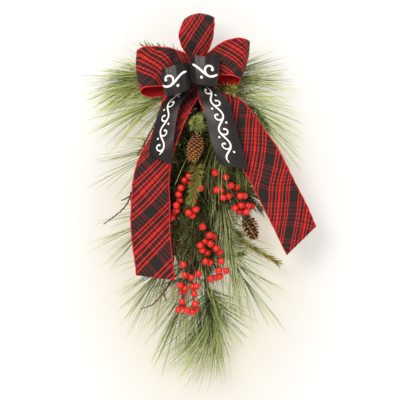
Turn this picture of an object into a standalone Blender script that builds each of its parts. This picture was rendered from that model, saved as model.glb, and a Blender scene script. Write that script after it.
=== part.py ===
# Christmas door swag: pine sprays, fir sprigs, berry picks, cones and bare twigs bound to a spine,
# with a tartan bow and a black satin bow wired over its top.
# Metres, +Z up. x runs to the viewer's right and y away from the viewer, towards the door.
# The origin is where a hook bears in the hanger loop. Places are written (x, z, depth) in millimetres,
# with depth measured forward from the door.

import math
import random

import bmesh
import bpy
import numpy as np
from mathutils.bvhtree import BVHTree

MM = 0.001
GAP = 0.3  # between pieces that bear on each other
STANDOFF = 4.0  # depth of the hanger loop's wire in front of the door
SEED = 24

# Frame of the swag
LOOP_RADIUS = 9.0  # inside the hanger loop
HANGER_WIRE = 1.2  # wire radius
HANGER_AROUND, HANGER_SIDES = 18, 5  # points round the ring, and round its wire
SPINE_RADIUS = 4.0
SPINE_TOP, SPINE_FOOT = -15.0, -398.0
SPINE_LEAN = -0.031  # sideways travel per millimetre of height
SPINE_DEPTH = 22.0
BRANCH_RADIUS = 1.6  # where a branch is bound to the spine
BOUND_LENGTH = 16.0  # length of branch that lies along the spine
BRANCH_SIDES = 4
STEM_POINTS = 6  # points on a branch's free part, shared between the points it runs through
STEM_END = 1.0
TWIG_RADIUS = 1.2
TWIG_END = 1.0
BINDING_WIRE = 0.7
BINDING_SIDES, BINDING_WIRE_SIDES = 12, 3
SPINE_SIDES = 8
TIE_KNOT = 3.2  # radius of the knot that ends the tie wire
TIE_SIDES = 6
STATIONS = (-34.0, -66.0, -100.0, -148.0, -205.0, -256.0, -310.0, -365.0)

# Needles: how many on a stem and how often each is tried, where on the stem they start, how wide they
# open at the start and the end, how flat the spray is front to back, and the needle's length and radius
LONG_NEEDLES = dict(
    count=25, tries=24, start=0.3, angles=(42, 14), flatness=0.55, length=(88.0, 120.0), radius=0.62
)
SHORT_NEEDLES = dict(
    count=22, tries=10, start=0.22, angles=(62, 30), flatness=0.9, length=(11.0, 15.0), radius=0.58
)
TURN_DRIFT = 0.6  # radians, either way, of a needle's place round its stem
RETRY_TURN = 0.9  # radians further round at each new try
OPENING_DRIFT = 9.0  # degrees, either way
NEEDLE_GAP = 0.45  # to the other pieces
RIBBON_GAP = 1.0
RIBBON_STEP = 2.5  # between the points of a needle that are tried against the ribbons
ROOT_SHARE = 0.3  # of a needle, where it may run into its own stem and neighbours
CROSSING_SHARE = 0.6
DOOR_CLEARANCE = 3.0
HOOK_SPACE = dict(side=17.0, low=-30.0, high=12.0, depth=14.0)
BOW_SPACE = dict(side=112.0, low=-54.0, depth=57.0)
IN_FRONT = 100.0  # a sprig that reaches this far stands in front of the ribbons
GOLDEN_ANGLE = math.radians(137.5)
TINY = 1e-9

# Berries and cones
BERRY_RADIUS = 5.6
BERRY_SIDES, BERRY_ROWS = 5, 3
BERRIES_APART = 2.1  # in radii, from centre to centre
BALL_SHARE = 1.1  # the points of a faceted ball lie outside the sphere that it stands for
BERRY_START = 0.25  # share of a twig before its first berry
BERRY_SPREAD = 7.3  # sideways from the twig
BERRY_WAVER, WAVER_TURN = 4.0, 2.4  # front to back, and the radians from one berry to the next
BERRY_LIFT = 1.7  # above its place on the twig
STALK_RADIUS, STALK_SIDES = 0.6, 3
TWIG_THINS = 0.8  # a twig's end radius, as a share of its first
CONE_LENGTH = 44.0
CONE_RADIUS = 11.0  # of the core, without the scales' tips
CONE_ROWS = 7
CONE_SIDES = 8
CONE_BLUNT = 0.08  # keeps the core's ends from closing to a point
CONE_TAPER = ((0, 0.6, 1), (0.95, 1, 0.75))  # places along the core, and its width there
CONE_ON_STALK = 3.0  # length of stalk inside the core
FIRST_SCALE, LAST_SCALE = 0.05, 0.93  # shares of the core's length
SCALE_COUNT = 24
SCALE_REACH = 3.0
SCALE_HALF_WIDTH = 4.6
SCALE_LEAST = 0.5  # share of the width that a scale keeps where the core is thin
SCALE_NARROWS = 0.7  # share of the width at a scale's rim
SCALE_LIFT = 3.4  # of a scale's rim towards the cone's tip
SCALE_THICKNESS = 4.0

# Ribbons
CLOTHS = dict(tartan=(66.0, 1.0, "tartan"), satin=(47.0, 0.8, "satin"))  # width, thickness and material
STRIP_COLUMNS = 3
GATHER_SIDES = 8
ROUND_OFF = 60  # degrees: an edge up to this is shaded round
NO_ROUND_OFF = 30

# Each gather is a short drum: its centre (x, z), its radius, and its depths at the back and the front
TAIL_GATHER = dict(centre=(-6, 3), radius=8.0, back=56.0, front=61.4)
BOW_GATHER = dict(centre=(-6, 2), radius=9.0, back=61.8, front=76.0)
SATIN_TAIL_GATHER = dict(centre=(-9, -8), radius=6.5, back=76.4, front=79.6)
SATIN_BOW_GATHER = dict(centre=(-10, -12), radius=7.0, back=80.0, front=93.0)

# A ribbon's stations: x, z, depth, the angle of its width to the horizontal, the share of its width
# that lies open, and how far its second edge leans towards the viewer, in degrees
TOP_LOOP = (
    (-5, 7, 74, 0, 0.28, 0),
    (-6, 18, 79, 0, 0.50, 0),
    (-6, 36, 85, 5, 0.78, 0),
    (-6, 56, 88, 9, 0.90, 0),
    (-3, 71, 86, 6, 0.82, 0),
    (-1, 78, 80, 2, 0.75, 0),
    (-1, 76, 73, 0, 0.72, 0),
    (-3, 66, 68, 0, 0.70, 0),
    (-4, 48, 67, 0, 0.60, 0),
    (-5, 24, 67, 0, 0.36, 0),
    (-5, 7, 66, 0, 0.26, 0),
)
LEFT_LOOP = (
    (-10, 2, 72, -90, 0.26, 0),
    (-25, 3, 76, -90, 0.50, 0),
    (-49, -3, 87, -92, 0.92, 0),
    (-72, -3, 93, -91, 1.00, 0),
    (-91, -4, 97, -89, 1.02, 0),
    (-101, -8, 92, -87, 1.02, 0),
    (-103, -12, 84, -86, 1.01, 0),
    (-98, -16, 75, -87, 1.01, 0),
    (-82, -20, 68, -90, 1.00, 0),
    (-54, -18, 65, -90, 0.92, 0),
    (-27, -7, 65, -90, 0.50, 0),
    (-10, 0, 66, -90, 0.26, 0),
)
RIGHT_LOOP = (
    (-2, 2, 72, -90, 0.26, 0),
    (12, 4, 76, -92, 0.48, 0),
    (31, 9, 88, -96, 0.80, 0),
    (50, 13, 95, -98, 0.92, 0),
    (65, 12, 97, -101, 0.98, 0),
    (73, 9, 91, -103, 0.98, 0),
    (75, 5, 83, -104, 0.98, 0),
    (70, -1, 75, -104, 0.96, 0),
    (55, -3, 68, -99, 0.92, 0),
    (32, -4, 65, -95, 0.80, 0),
    (12, -1, 65, -93, 0.49, 0),
    (-2, 0, 66, -90, 0.26, 0),
)
LEFT_TAIL = (
    (-8, 3, 58.5, 0, 0.23, 0),
    (-12, -14, 57.5, -2, 0.36, 0),
    (-19, -31, 57, 2, 0.64, 0),
    (-30, -51, 61, 6, 0.90, 0),
    (-39, -70, 69, 10, 0.90, 10),
    (-49, -95, 77, 13, 0.88, 16),
    (-60, -121, 84, 12, 0.88, 18),
    (-72, -147, 88, 9, 0.88, 14),
    (-79, -174, 90, 4, 0.90, 8),
    (-83, -203, 90, -1, 0.93, 2),
    (-83, -232, 88, -2, 0.97, -4),
    (-84, -264, 86, -3, 1.00, -8),
    (-82, -299, 83, -6, 1.00, -6),
    (-78, -332, 80, -8, 1.00, 4),
    (-75, -359, 80, -7, 1.00, 8),
)
RIGHT_TAIL = (
    (-4, 3, 58.5, 0, 0.23, 0),
    (3, -18, 57.5, -6, 0.31, 0),
    (9, -37, 58, 2, 0.44, 0),
    (23, -54, 63, 10, 0.74, 0),
    (37, -68, 70, 19, 0.96, 0),
    (52, -87, 76, 29, 1.02, -6),
    (70, -111, 80, 35, 1.03, -10),
    (86, -134, 83, 37, 1.03, -8),
    (99, -154, 84, 34, 1.03, -2),
    (113, -178, 84, 32, 1.02, 4),
    (125, -202, 82, 31, 1.01, 8),
    (137, -226, 80, 32, 1.01, 6),
    (151, -253, 78, 35, 1.02, 0),
    (163, -279, 78, 40, 1.03, -6),
    (171, -297, 80, 44, 1.04, -8),
)
SATIN_LEFT_LOOP = (
    (-10, -12, 85, -90, 0.30, 0),
    (-21, -20, 92, -84, 0.96, 0),
    (-37, -25, 98, -81, 1.00, 0),
    (-54, -30, 101, -79, 1.00, 0),
    (-61, -32, 106, -79, 1.00, 0),
    (-58, -31, 112, -79, 1.00, 0),
    (-46, -28, 116, -80, 1.00, 0),
    (-31, -23, 115, -82, 1.00, 0),
    (-22, -20, 108, -84, 0.96, 0),
    (-17, -17, 99, -86, 0.72, 0),
    (-11, -12, 91, -90, 0.30, 0),
)
SATIN_RIGHT_LOOP = (
    (-10, -12, 87, -90, 0.30, 0),
    (-1, -12, 94, -91, 0.94, 0),
    (14, -13, 99, -94, 1.00, 0),
    (25, -14, 103, -96, 1.00, 0),
    (30, -14, 109, -97, 1.00, 0),
    (26, -14, 115, -95, 1.00, 0),
    (14, -13, 119, -92, 1.02, 0),
    (-1, -11, 119, -88, 1.03, 0),
    (-12, -9, 113, -86, 1.03, 0),
    (-14, -9, 104, -86, 0.80, 0),
    (-10, -11, 92, -90, 0.30, 0),
)
SATIN_LEFT_TAIL = (
    (-12, -8, 78, 0, 0.26, 0),
    (-14, -23, 78.5, 0, 0.30, 0),
    (-24, -37, 82, 0, 0.50, 8),
    (-37, -50, 88, 3, 0.70, 18),
    (-49, -69, 93, 4, 0.80, 28),
    (-56, -89, 97, 4, 0.86, 32),
    (-61, -116, 100, 2, 0.88, 28),
    (-65, -140, 101, -4, 0.92, 20),
    (-66, -160, 99, -26, 0.88, 14),
)
SATIN_RIGHT_TAIL = (
    (-6, -8, 78, 0, 0.26, 0),
    (-2, -23, 78.5, 0, 0.30, 0),
    (7, -36, 83, 6, 0.50, 0),
    (17, -50, 90, 8, 0.78, 0),
    (27, -68, 98, 5, 0.98, 0),
    (34, -94, 103, 2, 1.00, 0),
    (41, -122, 105, -1, 1.02, 0),
    (48, -147, 105, -3, 1.04, 0),
    (55, -172, 104, -12, 1.08, 0),
)

# Each ribbon piece: its cloth, its gather, and its lengths with how far each bulges and the face that does
RIBBONS = dict(
    tartan_tails=dict(cloth="tartan", gather=TAIL_GATHER, lengths=((LEFT_TAIL, 3, 1), (RIGHT_TAIL, 3, 1))),
    tartan_bow=dict(
        cloth="tartan", gather=BOW_GATHER, lengths=((TOP_LOOP, 11, -1), (LEFT_LOOP, 4, 1), (RIGHT_LOOP, 4, -1))
    ),
    satin_tails=dict(
        cloth="satin", gather=SATIN_TAIL_GATHER, lengths=((SATIN_LEFT_TAIL, 3, 1), (SATIN_RIGHT_TAIL, 3, 1))
    ),
    satin_bow=dict(
        cloth="satin", gather=SATIN_BOW_GATHER, lengths=((SATIN_LEFT_LOOP, 2, -1), (SATIN_RIGHT_LOOP, 2, 1))
    ),
)

# Branches: the station where each is bound, its place round the spine (degrees from the front, right
# is positive), whether it leaves the spine upwards or downwards, and the points it runs through.
# reach is the furthest forward that its needles come.
PINE_SPRAYS = dict(
    pine_spray_top_left=dict(
        station=0, side=-90, leaves="up", reach=56,
        through=((-26, -17, 26), (-62, -15, 29), (-100, -20, 33)),
    ),
    pine_spray_top_right=dict(
        station=0, side=90, leaves="up", reach=56, through=((18, -19, 25), (36, -20, 28), (56, -27, 32))
    ),
    pine_spray_upper_left=dict(
        station=1, side=-90, leaves="up", reach=62,
        through=((-18, -47, 26), (-54, -50, 29), (-92, -68, 33)),
    ),
    pine_spray_upper_right=dict(
        station=1, side=90, leaves="up", reach=64,
        through=((18, -47, 25), (45, -47, 30), (74, -62, 33), (98, -88, 37)),
    ),
    pine_spray_left=dict(
        station=2, side=-90, leaves="down", reach=66,
        through=((-26, -122, 25), (-58, -136, 28), (-90, -152, 32)),
    ),
    pine_spray_middle_left=dict(
        station=4, side=-90, leaves="down", reach=66,
        through=((-32, -230, 25), (-62, -249, 27), (-90, -270, 31)),
    ),
    pine_spray_lower_left=dict(
        station=5, side=-90, leaves="down", reach=66,
        through=((-20, -284, 25), (-46, -324, 27), (-74, -360, 30)),
    ),
    pine_spray_bottom_left=dict(
        station=6, side=-90, leaves="down", reach=70,
        through=((-8, -340, 26), (-22, -382, 29), (-36, -418, 32)),
    ),
    pine_spray_bottom=dict(
        station=7, side=180, leaves="down", reach=70,
        through=((13, -392, 14), (15, -412, 16), (18, -444, 28)),
    ),
    pine_spray_lower_right=dict(
        station=5, side=90, leaves="down", reach=70,
        through=((30, -286, 26), (54, -326, 29), (76, -366, 32)),
    ),
    pine_spray_middle_right=dict(
        station=3, side=90, leaves="down", reach=80,
        through=((28, -180, 27), (44, -245, 32), (54, -313, 38)),
    ),
)
FIR_SPRIGS = dict(
    fir_sprig_behind_left_loop=dict(
        station=0, side=-135, leaves="up", reach=58, through=((-14, -6, 30), (-36, 18, 42), (-92, 31, 48))
    ),
    fir_sprig_under_right_loop=dict(
        station=1, side=45, leaves="up", reach=104,
        through=((15, -45, 38), (36, -37, 56), (51, -39, 70), (55, -43, 84)),
    ),
    fir_sprig_above_cone=dict(
        station=1, side=0, leaves="down", reach=104, through=((-2, -84, 36), (-5, -92, 54), (-5, -94, 84))
    ),
    fir_sprig_below_cone=dict(
        station=3, side=0, leaves="down", reach=104,
        through=((-2, -164, 40), (-5, -174, 68), (-8, -200, 86), (-14, -227, 90)),
    ),
    fir_sprig_by_left_tail=dict(
        station=4, side=-45, leaves="down", reach=70,
        through=((-22, -234, 34), (-42, -264, 42), (-48, -314, 46)),
    ),
    fir_sprig_low_right=dict(
        station=5, side=45, leaves="down", reach=74,
        through=((30, -276, 38), (70, -298, 46), (132, -334, 52)),
    ),
    fir_sprig_by_right_cone=dict(
        station=3, side=45, leaves="down", reach=70,
        through=((30, -176, 34), (65, -210, 38), (105, -246, 44)),
    ),
    fir_sprig_bottom=dict(
        station=7, side=0, leaves="down", reach=74,
        through=((20, -388, 34), (28, -404, 44), (33, -422, 52)),
    ),
    fir_sprig_low_center=dict(
        station=6, side=45, leaves="down", reach=90,
        through=((28, -326, 34), (54, -322, 48), (73, -318, 66)),
    ),
    fir_sprig_by_right_tail=dict(
        station=2, side=90, leaves="up", reach=72,
        through=((30, -84, 34), (64, -70, 44), (94, -74, 52), (114, -106, 58)),
    ),
    fir_sprig_outside_left_tail=dict(
        station=2, side=-45, leaves="down", reach=72,
        through=((-26, -118, 36), (-56, -132, 44), (-84, -150, 50)),
    ),
    fir_sprig_behind_cone=dict(
        station=1, side=135, leaves="down", reach=64,
        through=((11, -88, 14), (18, -106, 23), (13, -126, 33), (3, -140, 34)),
    ),
    fir_sprig_beside_cone=dict(
        station=2, side=135, leaves="down", reach=64, through=((20, -121, 21), (27, -139, 29), (29, -165, 34))
    ),
    fir_sprig_inner_left=dict(
        station=3, side=-45, leaves="down", reach=64,
        through=((-16, -168, 38), (-32, -190, 44), (-46, -226, 48)),
    ),
    fir_sprig_inner_right=dict(
        station=4, side=45, leaves="down", reach=64,
        through=((16, -230, 38), (26, -256, 44), (42, -290, 47)),
    ),
    fir_sprig_inner_low=dict(
        station=5, side=0, leaves="down", reach=64, through=((4, -278, 34), (1, -306, 38), (-3, -348, 41))
    ),
)

# Berry picks: as the branches, with twigs that leave the end of the stem, each with its berries
BERRY_PICKS = dict(
    berry_pick_left=dict(
        station=2, side=0, leaves="down", through=((-8, -132, 38), (-14, -165, 48), (-18, -184, 58)),
        twigs=(
            dict(berries=9, through=((-26, -202, 66), (-36, -228, 72), (-44, -254, 74))),
            dict(berries=6, through=((-8, -206, 66), (-8, -232, 70), (-14, -252, 72))),
        ),
    ),
    berry_pick_right=dict(
        station=2, side=45, leaves="down", through=((12, -132, 38), (15, -160, 50), (22, -184, 60)),
        twigs=(
            dict(berries=5, through=((34, -188, 66), (48, -196, 70), (60, -206, 70))),
            dict(berries=4, through=((28, -202, 66), (38, -218, 70), (50, -224, 72))),
            dict(berries=8, through=((50, -210, 62), (70, -224, 68), (80, -244, 72))),
        ),
    ),
    berry_pick_middle=dict(
        station=4, side=0, leaves="down", through=((6, -236, 38), (6, -260, 52), (6, -276, 60)),
        twigs=(
            dict(berries=9, through=((10, -292, 66), (6, -312, 72), (12, -336, 74))),
            dict(berries=9, through=((22, -298, 64), (30, -328, 70), (28, -358, 74))),
        ),
    ),
    berry_pick_low=dict(
        station=5, side=-45, leaves="down", through=((-10, -292, 38), (-14, -318, 50), (-15, -332, 58)),
        twigs=(
            dict(berries=9, through=((-24, -358, 66), (-30, -386, 72), (-32, -412, 74))),
            dict(berries=8, through=((-6, -358, 66), (-9, -386, 70), (-10, -414, 74))),
        ),
    ),
)

# Pine cones: their stalks as the branches, and the end of the cone
PINE_CONES = dict(
    pine_cone_center=dict(
        station=1, side=-45, leaves="down",
        through=((-14, -98, 44), (-9, -110, 62), (-4, -118, 77)),
        tip=(-12, -160, 80),
    ),
    pine_cone_right=dict(
        station=4, side=90, leaves="down",
        through=((34, -226, 30), (60, -238, 48), (77, -252, 64)),
        tip=(94, -297, 68),
    ),
)

# Bare twigs: their main stems as the branches, and forks that leave the end
BARE_TWIGS = dict(
    bare_twig_left=dict(
        station=3, side=-90, leaves="down",
        through=((-30, -178, 29), (-75, -200, 36), (-114, -213, 43), (-118, -221, 44)),
        forks=(
            ((-134, -229, 46),),
            ((-128, -240, 46), (-146, -256, 47), (-164, -269, 48)),
            ((-116, -239, 43),),
        ),
    ),
    bare_twig_upper_left=dict(
        station=1, side=-135, leaves="down",
        through=((-32, -88, 22), (-70, -92, 36), (-84, -112, 42), (-94, -130, 46)),
        forks=(((-107, -153, 48),), ((-97, -146, 43),)),
    ),
    bare_twig_lower_left=dict(
        station=6, side=-45, leaves="down", through=((-24, -338, 34), (-49, -366, 41), (-62, -386, 44)),
        forks=(((-80, -405, 46), (-101, -413, 47)), ((-57, -402, 44),)),
    ),
)
BOW_TIE = dict(station=0, side=0, leaves="up", through=((-3, -14, 36), (-6, -2, 45), (-6, 2, 53)))
HANGER_TAIL = dict(station=0, side=180, leaves="up", through=((0, -22, 13), (0, -19.6, STANDOFF)))


# Points and vectors


def at(x, z, depth):
    return np.array([x, STANDOFF - depth, z], float)


def unit(vectors):
    vectors = np.asarray(vectors, float)
    return vectors / np.linalg.norm(vectors, axis=-1, keepdims=True)


def curve_through(points, steps):
    """Points on a smooth curve through the given ones, with this many steps between two of them."""
    points = [np.asarray(p, float) for p in points]
    ends = [2 * points[0] - points[1], *points, 2 * points[-1] - points[-2]]
    curve = []
    for a, b, c, d in zip(ends, ends[1:], ends[2:], ends[3:]):
        for t in np.arange(steps) / steps:
            bend, twist = a - 2.5 * b + 2 * c - d / 2, 1.5 * (b - c) + (d - a) / 2
            curve.append(b + (c - a) * t / 2 + bend * t**2 + twist * t**3)
    return np.array([*curve, points[-1]])


def across_of(direction):
    """Two unit vectors at right angles to a direction and to each other, right-handed with it."""
    guide = np.array([0.0, 1.0, 0.0]) if abs(direction[1]) < 0.9 else np.array([1.0, 0.0, 0.0])
    first = unit(guide - direction * guide.dot(direction))
    return first, np.cross(direction, first)


def spine_axis(z):
    return at(SPINE_LEAN * (z - SPINE_TOP), z, SPINE_DEPTH)


# Shapes: each is a pair (points, faces), closed, with its faces outward


def tube(path, radii, sides):
    """A round tube along a path, with a radius at each point and flat ends."""
    along = unit(np.gradient(path, axis=0))
    normal = across_of(along[0])[0]
    points = []
    for centre, direction, radius in zip(path, along, radii):
        normal = unit(normal - direction * normal.dot(direction))
        other = np.cross(direction, normal)
        for turn in 2 * math.pi * np.arange(sides) / sides:
            points.append(centre + radius * (math.cos(turn) * normal + math.sin(turn) * other))
    faces = [list(range(sides))[::-1], [(len(path) - 1) * sides + j for j in range(sides)]]
    for i in range(len(path) - 1):
        for j in range(sides):
            k = (j + 1) % sides
            faces.append([i * sides + j, i * sides + k, (i + 1) * sides + k, (i + 1) * sides + j])
    return np.array(points), faces


def needle(root, tip, radius):
    """A three-sided needle that tapers to a point."""
    first, second = across_of(unit(tip - root))
    turns = 2 * math.pi * np.arange(3) / 3
    base = [root + radius * (math.cos(t) * first + math.sin(t) * second) for t in turns]
    return np.array([*base, tip]), [[2, 1, 0], [0, 1, 3], [1, 2, 3], [2, 0, 3]]


def ball(centre, radius, around, rows):
    points = [centre + np.array([0, 0, 1]) * radius]
    for row in range(1, rows):
        slope = math.pi * row / rows
        for turn in 2 * math.pi * (np.arange(around) + row % 2 / 2) / around:
            level = math.sin(slope) * np.array([math.cos(turn), math.sin(turn), 0])
            points.append(centre + (level + np.array([0, 0, math.cos(slope)])) * radius)
    points.append(centre - np.array([0, 0, 1]) * radius)
    last = len(points) - 1
    faces = []
    for j in range(around):
        k = (j + 1) % around
        faces.append([0, 1 + j, 1 + k])
        faces.append([last, last - around + k, last - around + j])
        for row in range(rows - 2):
            here, below = 1 + row * around, 1 + (row + 1) * around
            if row % 2 == 0:
                faces += [[here + j, below + j, below + k], [here + j, below + k, here + k]]
            else:
                faces += [[here + j, below + j, here + k], [below + j, below + k, here + k]]
    return np.array(points), faces


def drum(centre, radius, back, front):
    """A short cylinder whose flat ends face the door and the viewer."""
    path = np.array([at(*centre, back), at(*centre, front)])
    return tube(path, (radius, radius), GATHER_SIDES)


def hoop(centre, axis, radius, wire, around, sides):
    """A closed ring of round wire."""
    axis = unit(axis)
    first, second = across_of(axis)
    points = []
    for turn in 2 * math.pi * np.arange(around) / around:
        outward = math.cos(turn) * first + math.sin(turn) * second
        for roll in 2 * math.pi * np.arange(sides) / sides:
            points.append(centre + outward * (radius + wire * math.cos(roll)) + axis * wire * math.sin(roll))
    faces = []
    for i in range(around):
        for j in range(sides):
            here, there = i * sides, (i + 1) % around * sides
            k = (j + 1) % sides
            faces.append([here + j, there + j, there + k, here + k])
    return np.array(points), faces


def slab(grid, thickness):
    """A sheet of even thickness on a grid of points, split into triangles alike on both faces."""
    rows, columns = grid.shape[:2]
    out = unit(np.cross(np.gradient(grid, axis=0), np.gradient(grid, axis=1)))
    front, back = grid + out * thickness / 2, grid - out * thickness / 2
    points = np.concatenate([front.reshape(-1, 3), back.reshape(-1, 3)])
    half = rows * columns
    faces = []
    for i in range(rows - 1):
        for j in range(columns - 1):
            a, b = i * columns + j, (i + 1) * columns + j
            c, d = b + 1, a + 1
            faces += [[a, b, c], [a, c, d], [half + c, half + b, half + a], [half + d, half + c, half + a]]
    rim = [i * columns for i in range(rows)]
    rim += [(rows - 1) * columns + j for j in range(1, columns)]
    rim += [i * columns + columns - 1 for i in range(rows - 2, -1, -1)]
    rim += [j for j in range(columns - 2, 0, -1)]
    for a, b in zip(rim, rim[1:] + rim[:1]):
        faces += [[b, a, half + a], [b, half + a, half + b]]
    return points, faces


def strip(stations, width, thickness, bulge, facing):
    """A length of ribbon through its stations. facing is 1 or -1, the face towards which it bulges."""
    rows = np.array([(*at(x, z, depth), *more) for x, z, depth, *more in stations])
    centre, share = rows[:, :3], rows[:, 4]
    angle, lean = np.radians(rows[:, 3]), np.radians(rows[:, 5])
    across = np.stack([np.cos(angle) * np.cos(lean), -np.sin(lean), np.sin(angle) * np.cos(lean)], axis=1)
    out = facing * unit(np.cross(np.gradient(centre, axis=0), across))
    spread = np.linspace(-1, 1, STRIP_COLUMNS + 1)[None, :, None]
    half_width = (width * share / 2)[:, None, None]
    grid = centre[:, None] + across[:, None] * half_width * spread
    grid = grid + out[:, None] * bulge * share[:, None, None] * (1 - spread**2)
    return slab(grid, thickness)


# What is already placed, so that needles can be drawn clear of it


class Placed:
    """Capsules, each with its piece's name, and the surfaces of the ribbons."""

    def __init__(self):
        self.starts = np.empty((0, 3))
        self.ends = np.empty((0, 3))
        self.radii = np.empty(0)
        self.names = np.empty(0, dtype=object)
        self.surfaces = []

    def add_capsules(self, name, starts, ends, radii):
        self.starts = np.concatenate([self.starts, starts])
        self.ends = np.concatenate([self.ends, ends])
        self.radii = np.concatenate([self.radii, radii])
        self.names = np.concatenate([self.names, np.full(len(radii), name, dtype=object)])

    def add_path(self, name, path, radii):
        self.add_capsules(name, path[:-1], path[1:], np.maximum(radii[:-1], radii[1:]))

    def add_ball(self, name, centre, radius):
        self.add_capsules(name, centre[None], centre[None], np.array([radius]))

    def add_surface(self, shape):
        points, faces = shape
        self.surfaces.append(BVHTree.FromPolygons([tuple(p) for p in points], faces))

    def distances(self, start, end):
        """From one segment to each capsule's axis."""
        u, v, w = end - start, self.ends - self.starts, start - self.starts
        uu, vv, uv = u.dot(u), np.maximum((v * v).sum(axis=1), TINY), v @ u
        uw, vw = w @ u, (v * w).sum(axis=1)
        s = np.clip((uv * vw - vv * uw) / np.maximum(uu * vv - uv**2, TINY), 0, 1)
        t = np.clip((uv * s + vw) / vv, 0, 1)
        s = np.clip((uv * t - uw) / uu, 0, 1)
        return np.linalg.norm(w + s[:, None] * u - t[:, None] * v, axis=1)

    def is_clear(self, name, start, end, radius):
        """Whether a needle misses the other pieces and the ribbons, and past its root its own piece too."""
        own = self.names == name
        if (self.distances(start, end) < self.radii + radius + NEEDLE_GAP)[~own].any():
            return False
        past_root = start + (end - start) * ROOT_SHARE
        if (self.distances(past_root, end)[own] < CROSSING_SHARE * radius).any():
            return False
        count = math.ceil(np.linalg.norm(end - start) / RIBBON_STEP) + 1
        for point in start + (end - start) * np.linspace(0, 1, count)[:, None]:
            for surface in self.surfaces:
                if surface.find_nearest(tuple(point), radius + RIBBON_GAP)[0] is not None:
                    return False
        return True


def keeps_away(root, tip, reach):
    """Whether a needle stays off the door, out of the hook's space and behind the bow."""
    hook, bow = HOOK_SPACE, BOW_SPACE
    for point in (root + (tip - root) * t for t in (0.25, 0.5, 0.75, 1.0)):
        side, z, depth = abs(point[0]), point[2], STANDOFF - point[1]
        if depth < DOOR_CLEARANCE or depth > reach:
            return False
        if side < hook["side"] and hook["low"] < z < hook["high"] and depth < hook["depth"]:
            return False
        if side < bow["side"] and z > bow["low"] and depth > bow["depth"] and reach < IN_FRONT:
            return False
    return True


# Materials and objects


def hex_colour(code):
    channels = [int(code[i : i + 2], 16) / 255 for i in (1, 3, 5)]
    return [c / 12.92 if c <= 0.04045 else ((c + 0.055) / 1.055) ** 2.4 for c in channels] + [1.0]


def material(name, colour, roughness, metallic=0.0):
    made = bpy.data.materials.new(name)
    made.use_nodes = True
    shader = made.node_tree.nodes["Principled BSDF"]
    shader.inputs["Base Color"].default_value = hex_colour(colour)
    shader.inputs["Roughness"].default_value = roughness
    shader.inputs["Metallic"].default_value = metallic
    return made


def object_from(name, shape, surface=None):
    points, faces = shape
    mesh = bpy.data.meshes.new(name)
    mesh.from_pydata((points * MM).tolist(), [], faces)
    if surface:
        mesh.materials.append(surface)
    return bpy.data.objects.new(name, mesh)


def keep_outer_surface(mesh):
    """Fills the hollows that a union seals: only the largest connected surface stays."""
    shape = bmesh.new()
    shape.from_mesh(mesh)
    left, islands = set(shape.verts), []
    while left:
        front = [left.pop()]
        island = list(front)
        while front:
            for edge in front.pop().link_edges:
                for other in left.intersection(edge.verts):
                    left.discard(other)
                    front.append(other)
                    island.append(other)
        islands.append(island)
    islands.sort(key=len)
    inner = [vertex for island in islands[:-1] for vertex in island]
    bmesh.ops.delete(shape, geom=inner, context="VERTS")
    shape.to_mesh(mesh)
    shape.free()


def piece(name, shapes, surface, round_off=ROUND_OFF):
    """One object from shapes that run into each other, joined by a union."""
    body = object_from(name, shapes[0], surface)
    bpy.context.scene.collection.objects.link(body)
    if len(shapes) > 1:
        group = bpy.data.collections.new(name + "_added")
        bpy.context.scene.collection.children.link(group)
        for shape in shapes[1:]:
            group.objects.link(object_from(name + "_added", shape))
        union = body.modifiers.new("union", "BOOLEAN")
        union.operation = "UNION"
        union.operand_type = "COLLECTION"
        union.collection = group
        union.solver = "MANIFOLD"
        bare = body.data
        body.data = bpy.data.meshes.new_from_object(body.evaluated_get(bpy.context.evaluated_depsgraph_get()))
        body.modifiers.clear()
        bpy.data.meshes.remove(bare)
        for added in list(group.objects):
            bpy.data.meshes.remove(added.data)
        bpy.data.collections.remove(group)
        body.data.name = name
        keep_outer_surface(body.data)
    body.data.shade_smooth()
    body.data.set_sharp_from_angle(angle=math.radians(round_off))


# Branches


def bound_path(branch, radius=BRANCH_RADIUS):
    """The path of a branch: along the spine through its binding, then out through its points."""
    z = STATIONS[branch["station"]]
    way = 1 if branch["leaves"] == "up" else -1
    turn = math.radians(branch["side"])
    offset = (SPINE_RADIUS + GAP + radius) * np.array([math.sin(turn), -math.cos(turn), 0])
    bound = [spine_axis(z - way * BOUND_LENGTH / 2) + offset, spine_axis(z + way * BOUND_LENGTH / 2) + offset]
    steps = STEM_POINTS // len(branch["through"])
    return np.array([bound[0], *curve_through([bound[1], *(at(*p) for p in branch["through"])], steps)])


def stem(name, path, first, last, placed):
    """A stem that thins evenly along its path, as a shape. It also takes its place."""
    radii = np.linspace(first, last, len(path))
    placed.add_path(name, path, radii)
    return tube(path, radii, BRANCH_SIDES)


def fork_path(trunk, points):
    return np.array([trunk[-1], *(at(*p) for p in points)])


def distance_along(path):
    return np.concatenate([[0], np.cumsum(np.linalg.norm(np.diff(path, axis=0), axis=1))])


def part_way(path, values, share):
    """A row of values read at a share of a path's length."""
    lengths = distance_along(path)
    return np.array([np.interp(share * lengths[-1], lengths, values[:, axis]) for axis in range(3)])


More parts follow.
